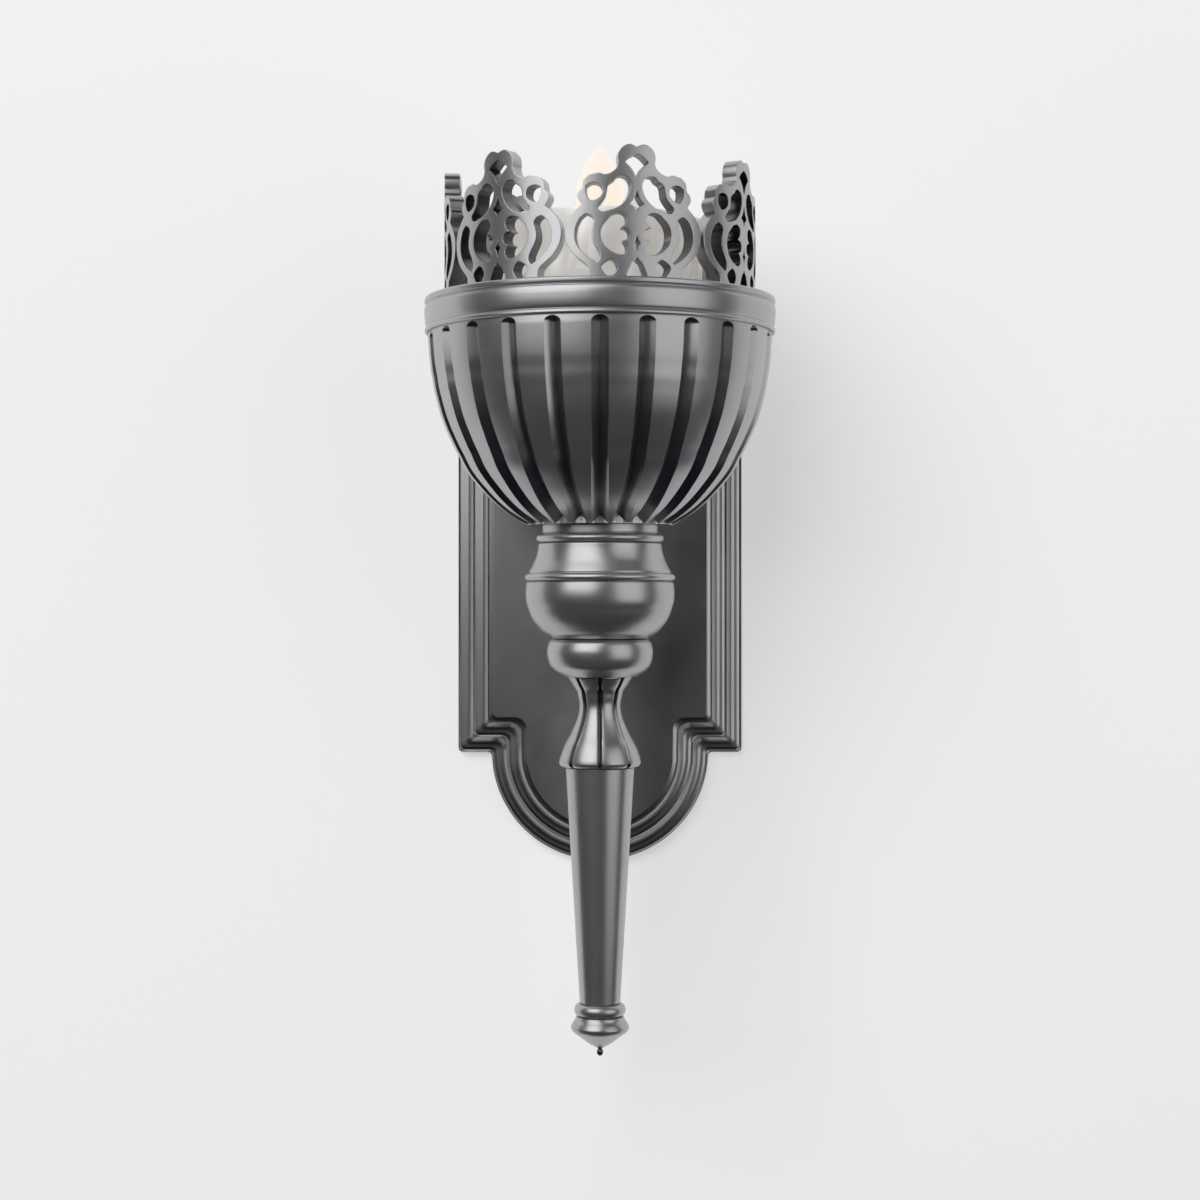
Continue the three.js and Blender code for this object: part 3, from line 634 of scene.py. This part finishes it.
neck = [(stemBore, 12.2), (stemBore, 51.1), (39.4, 51.1), (39.4, 46), (38.9, 45.5)]
neck += [(39.5, 45.1)] + bead(43.7, 41.9, 3.0, 3.4, 10) + [(40.4, 38.8), (41.9, 38.4)]
neck += throughPoints([(42.1, 38.0), (42.5, 34.6), (43.5, 30.5), (44.9, 26.4), (46.9, 22.3),
                       (48.3, 19.5)], 5)
neck += [(48.4, 19.1), (48.2, 18.4)] + bead(51.5, 15.4, 2.7, 3.0, 10) + [(48.6, 12.5), (48.6, 12.2)]
addPiece("neckCasting", turned(softened(neck, 0.25, closed=True, limit=30), 160), ["neck"], onAxis=True)

rodBore = 4.3
lowerKnop = [(rodBore, -52.4), (rodBore, -26.9), (33, -26.9)]
lowerKnop += throughPoints([(33.2, -27.2), (34.9, -29), (36.1, -33), (36.3, -36.6), (35.6, -41.4),
                            (33.9, -45.5), (31.8, -47.9), (29.4, -49.7), (25, -52.4)], 5)
addPiece("lowerKnopCasting", turned(softened(lowerKnop, 0.3, closed=True), 144), ["lower_knop"],
         onAxis=True)

# Waist: a baluster with eight narrow grooves that run through its lip. A groove's section is drawn
# as (sideways in widths, share of the depth) from its middle.
waist = {"top": -52.7, "foot": -114.3, "lobes": 8, "lobeSteps": 8, "grooveWidth": 1.5,
         "grooveDepth": 2.3, "section": [(0.0, 1.0), (0.55, 0.5), (0.95, 0.12), (1.3, 0.02)],
         "recess": 0.85}


def waistMesh():
    outside = throughPoints(
        [(21.8, -53.4), (19.2, -57.8), (16.1, -62.4), (15.1, -66.7), (14.2, -71.5), (15, -78.3),
         (17.3, -85), (20.7, -92.4), (24.7, -99.8), (27.7, -108.3), (28.1, -111.2)], 5)
    lip = [(27.6, -112.6), (26.9, -113.4), (25.2, -114.1), (23.3, waist["foot"])]
    profile = [(rodBore, waist["foot"]), (rodBore, waist["top"]), (21.8, waist["top"]), *outside, *lip]
    span, steps = 2 * math.pi / waist["lobes"], waist["lobeSteps"]
    boreSpread = 6      # keeps the columns apart on the bore, where a groove would be too wide
    rings = []
    for radius, height in profile:
        scale = waist["grooveWidth"] / max(radius, boreSpread)
        depth = waist["grooveDepth"] if radius > rodBore else 0.0
        half = [(offset * scale, share) for offset, share in waist["section"]]
        first = half[-1][0]
        places = half + [(first + (span - 2 * first) * k / steps, 0.0) for k in range(1, steps)]
        places += [(span - angle, share) for angle, share in reversed(half[1:])]
        ring = []
        for lobe in range(waist["lobes"]):
            for angle, share in places:
                r, turn = radius - depth * share, lobe * span + angle
                ring.append((r * math.sin(turn), -r * math.cos(turn), height))
        rings.append(ring)
    return banded(rings, closed=True)


waistPiece = addPiece("waistCasting", waistMesh(), ["waist"], onAxis=True, sharp=32)
# The groove walls are darkened with painted shade.
markGrooves(waistPiece.data, waist["recess"])

handle = [(rodBore, -275.6), (rodBore, -114.6), (23.5, -114.6), (13.85, -275.6)]
addPiece("handleGrip", turned(softened(handle, 0.5, closed=True), 144), ["handle"], onAxis=True)

finial = [(0, -275.9), (14.4, -275.9)] + bead(17.6, -280.3, 4.2, 3.4, 10)
finial += [(16.3, -284.8)]
finial += throughPoints([(16.4, -285.2), (17, -286.8), (18.6, -289.2), (19.8, -291.6)], 5)
finial += [(19.9, -292.6), (19.4, -294.2), (18.3, -295.5)]
finial += throughPoints([(18.0, -295.8), (13.7, -298.9), (8, -303.2), (2.5, -306.4)], 4) + [(0, -306.4)]
addPiece("finialCasting", turned(softened(finial, 0.4), 128), ["finial"], onAxis=True)

drop = throughPoints([(1.0, -306.6), (1.7, -307.6), (2.25, -309.2), (1.9, -310.9), (0.9, -311.9),
                      (0, -312.2)], 5)
addPiece("finialDrop", turned([(0, -306.5), *drop], 40), ["finial_drop"], onAxis=True)
print("stem done")


# Bowl with 24 V-shaped flutes that keep their width down to the foot and end in an arch

bowlCurve = [(117.4, 176.7), (116.9, 170), (116.3, 163), (115.5, 156), (114.3, 149.4), (113.2, 142.6),
             (111.5, 135.8), (109.7, 129), (107.5, 122), (104.9, 115.4), (101.8, 108.6), (98.5, 101.8),
             (96.4, 98), (90.6, 87), (80.8, 75), (72.4, 66.5), (64.1, 59.8), (50.2, 51.2)]
bowlInside = [(42, 57.5), (55, 64.2), (68, 72.4), (77.5, 82), (85.5, 93.5), (92.5, 106), (97.3, 119),
              (101.3, 133), (104, 147), (105.6, 165), (106.3, 180), (106.6, 192.7)]
bowl = {"mouth": 117.4, "top": 181.9, "foot": 51.2, "footEdge": 51.5, "floor": 57.5}
flute = {"count": 24, "half": 5.6, "depth": 6.1, "archFoot": 177.2, "archRise": 3.7, "archSteps": 12,
         "archPower": 1.12, "core": 49.0, "recess": 0.5}


def bowlMesh():
    count, foot, nearZero, bottom = flute["count"], bowl["foot"], 0.01, 0.985
    # The outside as (radius, height, share of the flutes' full width and depth)
    side = [(bowl["mouth"], bowl["top"], nearZero)]
    for k in range(flute["archSteps"], 0, -1):
        turn = math.radians(90 / flute["archSteps"] * k)
        rise = flute["archRise"] * math.sin(turn) ** flute["archPower"]
        share = max(nearZero, math.cos(turn)) ** flute["archPower"]
        side.append((bowl["mouth"], flute["archFoot"] + rise, share))
    side += [(radius, height, 1.0) for radius, height in throughPoints(bowlCurve, 5)]
    # Columns across half a flute and half the land beside it, as shares of each
    fluteColumns = (0, 0.04, 0.12, 0.25, 0.4, 0.55, 0.7, 0.85, 0.95, 1)
    landColumns = (0.03, 0.3, 0.65, 1.0)
    rings = []
    for i, (radius, height, share) in enumerate(side):
        before, after = side[max(0, i - 1)], side[min(len(side) - 1, i + 1)]
        along = Vector((after[0] - before[0], after[1] - before[1])).normalized()
        outX, outZ = -along.y, along.x
        span = 2 * math.pi * radius / count
        reach = flute["half"] * share
        columns = [(s * reach, share * min(1 - s, bottom)) for s in fluteColumns]
        columns += [(reach + (span / 2 - reach) * s, 0.0) for s in landColumns]
        columns += [(span - offset, sink) for offset, sink in reversed(columns[1:-1])]
        ring = []
        for index in range(count):
            for offset, sink in columns:
                depth = flute["depth"] * sink
                r = max(radius - outX * depth, min(radius, flute["core"]))
                angle = (index + offset / span) * 2 * math.pi / count
                ring.append((r * math.sin(angle), -r * math.cos(angle), height - outZ * depth))
        rings.append(ring)
    last = rings.pop()
    rings += [[(x, y, max(z, bowl["footEdge"])) for x, y, z in last], [(x, y, foot) for x, y, _ in last]]

    def plain(radius, height):
        return [(radius * x / math.hypot(x, y), radius * y / math.hypot(x, y), height) for x, y, _ in last]

    rings += [plain(46, foot), plain(stemBore, foot), plain(stemBore, bowl["floor"]), plain(38, 57.2)]
    rings += [plain(r, z) for r, z in throughPoints(bowlInside, 3)]
    rings += [plain(107, 192.9), plain(114.3, 192.9), plain(114.6, 192.6), plain(114.6, 182.4)]
    return banded(rings, closed=True)


bowlPiece = addPiece("bowlCasting", bowlMesh(), ["bowl"], onAxis=True, sharp=40)
# The flute walls lose the dull film and with it their diffuse light, which darkens them as painted shade.
markGrooves(bowlPiece.data, flute["recess"])

bowlWasher = [(stemBore, 57.8), (16, 57.8), (16, 59.8), (stemBore, 59.8)]
addPiece("bowlWasher", turned(softened(bowlWasher, 0.3, closed=True), 56), ["bowl_washer"], onAxis=True)
pipeNut = {"acrossFlats": 17, "bore": stemBore}
addPiece("bowlLocknut", hexagon(low=60.1, high=66.1, **pipeNut), ["bowl_locknut"], onAxis=True, sharp=30)
pipe = {"radius": 5, "low": 6.5, "high": 170, "pitch": 1.5, "depth": 0.5, "bore": 3.5}
addPiece("lampPipe", threaded(**pipe), ["lamp_pipe"], onAxis=True, sharp=30)

# Rim ring, with the ledge that the petals stand on, and the clamp ring behind them
lowerBead = [(118.3, 181.6), (119.0, 181.6), (119.6, 182.3), (119.7, 183.2), (119.4, 184.2),
             (118.8, 184.9)]
band = [(118.6, 185.6), (119.1, 186.9), (119.65, 190.2), (119.95, 194), (120, 195.6), (119.85, 197.8),
        (119.4, 199.4)]
upperBead = [(118.5, 200.0), (118.5, 200.7), (119.3, 201.2), (119.8, 202.2), (119.8, 204.2),
             (119.2, 205.0)]
rim = [(92, 193), (115.6, 193), (115.6, 182.6), (117.2, 182.0), (117.9, 181.8)]
rim += throughPoints(lowerBead, 4) + [(118.4, 185.2)] + throughPoints(band, 4) + upperBead
rim += [(107, 205), (107, 198.7), (92, 198.7)]
addPiece("rimCasting", turned(softened(rim, 0.35, closed=True, limit=30), 256), ["rim_ring"], onAxis=True)
clamp = [(92.3, 199), (95.2, 199), (95.2, 206.5), (92.3, 206.5)]
addPiece("clampRing", turned(softened(clamp, 0.5, closed=True), 200), ["crown_clamp_ring"], onAxis=True)
print("bowl and rim done")


# Crown petals: a pierced drawing, sawn from plate and bent round. Each path is a list of smooth
# runs that meet in corners. Points are (sideways, height above the drawing's datum).

petal = {"radius": 106.3, "thickness": 10.5, "datum": 204.0, "count": 7, "first": 360 / 28,
         "bevel": 0.35, "reach": 48, "bend": 2.5, "outlineShare": 0.5, "holeShare": 1.0}
petalHalf = [
    [(0, 85.5), (2.6, 86.7), (5.8, 87.1), (9.3, 85.3), (11.9, 82), (12.6, 78.4), (12.1, 75.2)],
    [(12.1, 75.2), (13.3, 71.8), (15.8, 69.5), (18.5, 68.1), (21.3, 67.5)],
    [(21.3, 67.5), (24.6, 68.6), (28, 68), (30.9, 67.3), (32.7, 65.9), (34.4, 64), (34.9, 61.6),
     (35.2, 58.8)],
    [(35.2, 58.8), (37, 57.2), (38.2, 55.2), (38.3, 53.4), (37.6, 51.6), (35.6, 48.6)],
    [(35.6, 48.6), (40.8, 43.7), (44.9, 38.3), (46.6, 31.8), (45.5, 24.3), (41.2, 17), (35.6, 12),
     (31.5, 8.4), (30.6, 4.5), (31, 0), (31, -5)],
]
middleHoles = [
    [[(0, 81), (3.6, 79.2), (7.7, 75.7)], [(7.7, 75.7), (3.2, 71.2), (0, 65)]],
    [[(0, 57.3), (1.6, 52.6), (4.4, 48.9)], [(4.4, 48.9), (1.7, 47.2), (0, 44.1)]],
    [[(0, 28.7), (0.8, 25.6), (2.2, 23.8)], [(2.2, 23.8), (0.9, 22), (0, 18.4)]],
]
sideHoles = [
    [[(9, 66.9), (6.1, 65.6), (4.3, 63.2), (3.7, 60.6), (4.6, 56), (7.9, 50.6), (12.6, 46.8),
      (18.2, 44.8), (23.3, 44), (25.5, 46.9), (22.6, 50.4), (19.9, 54.2), (19.2, 57.6), (18.6, 60.6),
      (16.9, 62.6), (14.5, 63.9), (12.3, 66.4), (9, 66.9)]],
    [[(32.8, 60), (30.4, 61.7), (27.1, 62.1), (23.6, 60.6), (22.2, 56.5), (24.4, 53), (29.7, 51.1),
      (31.9, 53.7), (32.9, 56.8), (32.8, 60)]],
    [[(11.2, 43.7), (15.4, 42.6), (18.6, 39.8), (21.8, 36.3), (23.4, 31.8), (23.1, 27), (21.3, 22.8),
      (16.8, 18.6), (11.4, 16.5), (8.2, 16.9), (6.4, 18.9), (6.6, 22.6), (8.9, 25.4)],
     [(8.9, 25.4), (5.6, 26.7), (4.4, 29.6), (6, 32.8), (10, 34)],
     [(10, 34), (7.2, 36.4), (6.3, 39.8), (7.8, 42.6), (11.2, 43.7)]],
    [[(32.9, 42.4), (36.2, 40), (38.4, 36.6), (39.8, 32.2), (40, 27.4), (38.8, 23), (36.3, 19.2),
      (31.6, 14.8), (25.8, 11.3)],
     [(25.8, 11.3), (24.3, 13.6), (24.1, 16.4), (25.8, 20.4), (28.1, 24.4), (29.3, 28), (29.3, 31.8),
      (28.5, 35.4), (27.8, 38.2), (29.6, 41), (32.9, 42.4)]],
    [[(16.9, 14), (20.4, 12.2), (23.1, 9.3), (21.6, 5.4), (18.4, 2.6), (15.4, 3.6), (13.6, 5.8),
      (12.6, 8.2), (13.1, 10.4), (14.6, 12.7), (16.9, 14)]],
]
archHalf = [[(0, 14.8), (1.2, 12.9), (3, 11.6)], [(3, 11.6), (5.2, 7.2), (6.4, 3.8), (6.9, 0)]]


def pathOf(runs, steps=5):
    path = []
    for run in runs:
        curve = throughPoints(run, steps) if len(run) > 2 else run
        path += curve if not path else curve[1:]
    if math.dist(path[0], path[-1]) < 1e-6:
        path.pop()
    return path


def mirrored(half):
    return half + [(-x, y) for x, y in reversed(half) if x > 1e-6]


def petalMesh():
    outlines = [mirrored(pathOf(petalHalf)), mirrored(pathOf(archHalf))]
    outlines += [mirrored(pathOf(runs)) for runs in middleHoles]
    for runs in sideHoles:
        hole = pathOf(runs)
        outlines += [hole, [(-x, y) for x, y in reversed(hole)]]
    mesh = extruded(outlines, petal["thickness"], petal["bevel"])
    work = bmesh.new()
    work.from_mesh(mesh)
    bmesh.ops.remove_doubles(work, verts=work.verts, dist=1e-4)
    # Upright cuts let the flat plate bend smoothly.
    reach = petal["reach"]
    cuts = int(2 * reach / petal["bend"])
    for k in range(1, cuts):
        geometry = work.verts[:] + work.edges[:] + work.faces[:]
        bmesh.ops.bisect_plane(work, geom=geometry, plane_co=(-reach + 2 * reach * k / cuts, 0, 0),
                               plane_no=(1, 0, 0), dist=1e-4)
    work.to_mesh(mesh)
    work.free()

    # Painted shade: the sawn walls inside the holes are darkened more than those of the outline.
    def holeShadeShare(centre, normal):
        faceSlope, nearOutline = 0.5, 1.5
        if abs(normal.z) > faceSlope:
            return 0.0
        onOutline = min(math.dist(centre[:2], point) for point in outlines[0]) < nearOutline
        return petal["outlineShare"] if onOutline else petal["holeShare"]

    markRecess(mesh, holeShadeShare)
    return mesh


flatPetal = petalMesh()
for i in range(petal["count"]):
    bent = flatPetal.copy()
    turn = math.radians(petal["first"] + i * 360 / petal["count"])
    for vertex in bent.vertices:
        x, y, z = vertex.co
        angle = turn + x / petal["radius"]
        r = petal["radius"] - petal["thickness"] / 2 + z
        vertex.co = (r * math.sin(angle), -r * math.cos(angle), petal["datum"] + y)
    addPiece(f"petalPlate_{i + 1}", bent, [f"crown_petal_{i + 1}"], onAxis=True, sharp=40)
bpy.data.meshes.remove(flatPetal)
print("crown done")


# Lamp inside the crown: glass seat, sleeve, lampholder with a ringed socket, opal cup and bulb

seat = [(stemBore, 150), (31, 150), (33.2, 151.2), (35.2, 153), (36, 155), (36, 158.4), (35.4, 159),
        (34.6, 159), (34, 158.4), (34, 154.6), (33.2, 153.4), (32, 153), (stemBore, 153)]
addPiece("glassSeat", turned(softened(seat, 0.4, closed=True), 112), ["glass_seat"], onAxis=True)
addPiece("seatLocknut", hexagon(low=143.7, high=149.7, **pipeNut), ["seat_locknut"], onAxis=True, sharp=30)

sleeve = [(11.2, 153.3), (12.5, 153.3), (12.5, 226), (11.2, 226)]
addPiece("candleSleeve", turned(softened(sleeve, 0.45, closed=True), 72), ["candle_sleeve"],
         onAxis=True)

socket = {"radius": 6.75, "depth": 0.35, "top": 224.2, "step": 1.1, "turns": 9}
holder = [(0, 170.3), (stemBore, 170.3), (stemBore, 153.3), (8.5, 153.3), (8.5, 190), (10.6, 194),
          (10.6, 225), (9.4, 225)]
for k in range(2 * socket["turns"]):
    holder.append((socket["radius"] + socket["depth"] * (k % 2), socket["top"] - k * socket["step"]))
holder += [(6.7, 204.6), (6.2, 204), (0, 204)]
addPiece("lampholderMoulding", turned(softened(holder, 0.3), 64), ["lampholder"], onAxis=True)
contact = [(0, 204.3), (2.4, 204.3), (2.4, 205), (1.6, 205.5), (0, 205.7)]
addPiece("holderContact", turned(softened(contact, 0.3), 32), ["lampholder_contact"], onAxis=True)

glassOutside = [(30.5, 153.3), (30.5, 156.25)] + throughPoints(
    [(30.5, 159.2), (32.4, 161.6), (40, 164.9), (50, 170), (57, 176.4), (62, 184), (65.7, 193.6),
     (68, 204), (69.4, 214), (70, 224), (70.1, 234), (70.3, 244), (70.9, 252), (71, 256.2)], 6)
glassInside = throughPoints(
    [(67.2, 255.9), (66.9, 252), (66.7, 244), (66.6, 224), (65.7, 212), (64.4, 205.6), (62.2, 196),
     (58.6, 188), (53.4, 180.6), (47, 174.8), (38, 169), (27, 165.3)], 6)
lip = [(70.6, 257.5), (69.6, 258), (68.5, 257.7), (67.5, 257)]
glass = [(17.5, 153.3), *glassOutside, *lip, *glassInside, (19, 165), (17, 164.2), (17, 154)]
addPiece("opalCup", turned(softened(glass, 0.5, closed=True), 160), ["diffuser_glass"], body="diffuser",
         onAxis=True, sharp=60)

bulb = throughPoints(
    [(6, 230), (6.6, 232.4), (8, 236), (10.4, 244), (12.4, 253), (14, 262), (15.2, 270), (15.8, 276.5),
     (15.8, 281), (15, 286), (13, 291), (10.6, 297), (8.9, 299.4), (7.2, 302), (5.5, 305), (4.1, 307),
     (1.9, 310.2), (0, 311.6)], 5)
addPiece("bulbEnvelope", turned([(0, 230), *bulb], 96), ["bulb_glass"], body="bulb", onAxis=True,
         sharp=70)

# The bulb's cap: a rolled thread that fades out at both ends under a flared rim, and a dark glass
# insulator with a soldered tip below it.
cap = {"low": 210, "length": 19.7, "radius": 5.75, "pitch": 2.5, "depth": 0.45, "lowFade": 1.5,
       "highFade": 3, "threadTop": 229, "flare": 0.6, "flareFoot": 228.2, "rows": 60, "segments": 48}


def capShell():
    segments, low, length = cap["segments"], cap["low"], cap["length"]
    rings = [[(0, 0, low)] * segments]
    for r in range(cap["rows"] + 1):
        height = low + length * r / cap["rows"]
        fade = min(1, (height - low) / cap["lowFade"], (cap["threadTop"] - height) / cap["highFade"])
        middle = cap["radius"] + cap["flare"] * max(0, height - cap["flareFoot"])
        ring = []
        for i in range(segments):
            angle = 2 * math.pi * i / segments
            wave = math.cos(2 * math.pi * (height / cap["pitch"] - i / segments))
            radius = middle + cap["depth"] * wave * max(0, fade)
            ring.append((radius * math.sin(angle), -radius * math.cos(angle), height))
        rings.append(ring)
    rings.append([(0, 0, low + length)] * segments)
    return banded(rings)


tip = turned([(0, 206), (1.6, 206), (2.2, 206.5), (2.3, 207.4), (0, 207.4)], 32)
addPiece("bulbCapShell", joined(capShell(), tip), ["bulb_cap"], body="bulb", onAxis=True, sharp=50)
insulator = [(0, 207.2), (2.3, 207.3), (3.2, 208.2), (5.2, 209.6), (5.6, 210.4), (0, 210.4)]
addPiece("bulbCapInsulator", turned(softened(insulator, 0.3), 48), ["bulb_cap"], body="bulb",
         onAxis=True, slot="black_phenolic")
print("lamp done")


# Wall, floor, light and camera

# Matt plaster that is lit evenly from elsewhere in the room: the eye and the metal see it glow a
# little, so that the torch's own shadow on it stays pale.
plaster = {"tones": ["aeaeae", "b0b0b0"], "grain": 900, "detail": 2, "roughness": 0.9, "glow": 0.48}
stageMaterial, stageTree, stageShader, stageOutput = newMaterial(
    "pale_matt_plaster", Roughness=plaster["roughness"])
stageTree.links.new(mottled(stageTree, plaster["tones"], plaster["grain"], plaster["detail"]),
                    stageShader.inputs["Base Color"])
stageShader.inputs["Emission Color"].default_value = hexToLinear("ffffff")
seen = addNode(stageTree, "ShaderNodeLightPath").outputs
eyeOrMetal = addNode(stageTree, "ShaderNodeMath", {"operation": "MAXIMUM"},
                     {0: seen["Is Camera Ray"], 1: seen["Is Glossy Ray"]})
glow = addNode(stageTree, "ShaderNodeMath", {"operation": "MULTIPLY"},
               {0: eyeOrMetal.outputs[0], 1: plaster["glow"]})
stageTree.links.new(glow.outputs[0], stageShader.inputs["Emission Strength"])
# From behind, the wall is clear to the camera, so that the back of the sconce can be looked at.
fromBehind = addNode(stageTree, "ShaderNodeNewGeometry").outputs["Backfacing"]
clear = addNode(stageTree, "ShaderNodeMath", {"operation": "MULTIPLY"},
                {0: fromBehind, 1: seen["Is Camera Ray"]})
through = addNode(stageTree, "ShaderNodeBsdfTransparent")
either = addNode(stageTree, "ShaderNodeMixShader",
                 inputs={0: clear.outputs[0], 1: stageShader.outputs[0], 2: through.outputs[0]})
stageTree.links.new(either.outputs[0], stageOutput.inputs["Surface"])


def addStage(name, points, faces):
    data = bpy.data.meshes.new(name)
    data.from_pydata([(x / 1000, y / 1000, z / 1000) for x, y, z in points], [], faces)
    data.materials.append(stageMaterial)
    panel = bpy.data.objects.new(name, data)
    scene.collection.objects.link(panel)
    return panel


# The wall is a ring of quads facing the room, round an opening behind the backplate.
wall = {"half": 1400, "openingX": 68, "openingZ": 148, "y": 0.6}
floor = {"front": -800, "level": -1300}
corners = [(-1, -1), (1, -1), (1, 1), (-1, 1)]
wallPoints = [(x * wall["half"], wall["y"], z * wall["half"]) for x, z in corners]
wallPoints += [(x * wall["openingX"], wall["y"], z * wall["openingZ"]) for x, z in corners]
addStage("wallPanel", wallPoints, [(i, (i + 1) % 4, 4 + (i + 1) % 4, 4 + i) for i in range(4)])
floorPoints = [(x * wall["half"], min(0, floor["front"] * -side), floor["level"]) for x, side in corners]
floorPanel = addStage("floorPanel", floorPoints, [(0, 1, 2, 3)])
floorPanel.visible_glossy = False


# A softbox that faces the torch. Angles are seen from the torch, azimuth 0 towards the room.
# Lengths are metres and the power is watts.
def addSoftbox(name, azimuth, elevation, distance, width, height, power, onWall=True, inMetal=True):
    lamp = bpy.data.lights.new(name, "AREA")
    lamp.shape = "RECTANGLE"
    lamp.size, lamp.size_y, lamp.energy = width, height, power
    holder = bpy.data.objects.new(name, lamp)
    a, e = math.radians(azimuth), math.radians(elevation)
    away = Vector((math.sin(a) * math.cos(e), -math.cos(a) * math.cos(e), math.sin(e)))
    holder.location = Vector((0, axisY / 1000, 0)) + away * distance
    holder.rotation_euler = away.to_track_quat("Z", "Y").to_euler()
    holder.visible_camera = False
    holder.visible_diffuse, holder.visible_glossy = onWall, inMetal
    scene.collection.objects.link(holder)


addSoftbox("softboxLeft", azimuth=-32, elevation=33, distance=2.2, width=2.15, height=2.34, power=28,
           onWall=False)
addSoftbox("softboxRight", azimuth=48, elevation=9, distance=2.2, width=1.9, height=2.2, power=13)
addSoftbox("roomLight", azimuth=-28, elevation=27, distance=4.5, width=3.4, height=3.4, power=190,
           inMetal=False)

# The surrounding is dark for the metal towards the room and pale towards the wall. Matt faces get
# an even fill, and the camera sees a pale ground.
surrounding = {"dark": "0c0d18", "pale": 0.7, "from": 0.08, "to": 0.2,
               "fill": [0.08, 0.08, 0.09, 1.0], "ground": [0.86, 0.86, 0.86, 1.0]}
world = bpy.data.worlds.new("studio")
scene.world = world
world.use_nodes = True
sky = world.node_tree
sky.nodes.clear()
direction = addNode(sky, "ShaderNodeSeparateXYZ",
                    inputs={0: addNode(sky, "ShaderNodeTexCoord").outputs["Generated"]})
depthwise = addNode(sky, "ShaderNodeMapRange", inputs={
    "Value": direction.outputs["Y"], "From Min": surrounding["from"], "From Max": surrounding["to"]})
room = addNode(sky, "ShaderNodeValToRGB", inputs={"Fac": depthwise.outputs[0]},
               stops=[(0.0, surrounding["dark"]), (1.0, surrounding["pale"])])
rays = addNode(sky, "ShaderNodeLightPath").outputs
fill = addNode(sky, "ShaderNodeMix", {"data_type": "RGBA"},
               {0: rays["Is Diffuse Ray"], 6: room.outputs["Color"], 7: surrounding["fill"]})
seenSky = addNode(sky, "ShaderNodeMix", {"data_type": "RGBA"},
                  {0: rays["Is Camera Ray"], 6: fill.outputs[2], 7: surrounding["ground"]})
background = addNode(sky, "ShaderNodeBackground", inputs={"Color": seenSky.outputs[2], "Strength": 1.0})
addNode(sky, "ShaderNodeOutputWorld", inputs={"Surface": background.outputs[0]})

view = {"lens": 66.9, "sensor": 36.0, "distance": 1.6724}
camera = bpy.data.cameras.new("camera")
camera.lens, camera.sensor_width = view["lens"], view["sensor"]
camera.clip_start, camera.clip_end = 0.05, 20.0
cameraHolder = bpy.data.objects.new("camera", camera)
cameraHolder.location = (0, -view["distance"], 0)
cameraHolder.rotation_euler = (math.radians(90), 0, 0)
scene.collection.objects.link(cameraHolder)
scene.camera = cameraHolder
scene.view_settings.view_transform = "Standard"
print("stage, light and camera done")
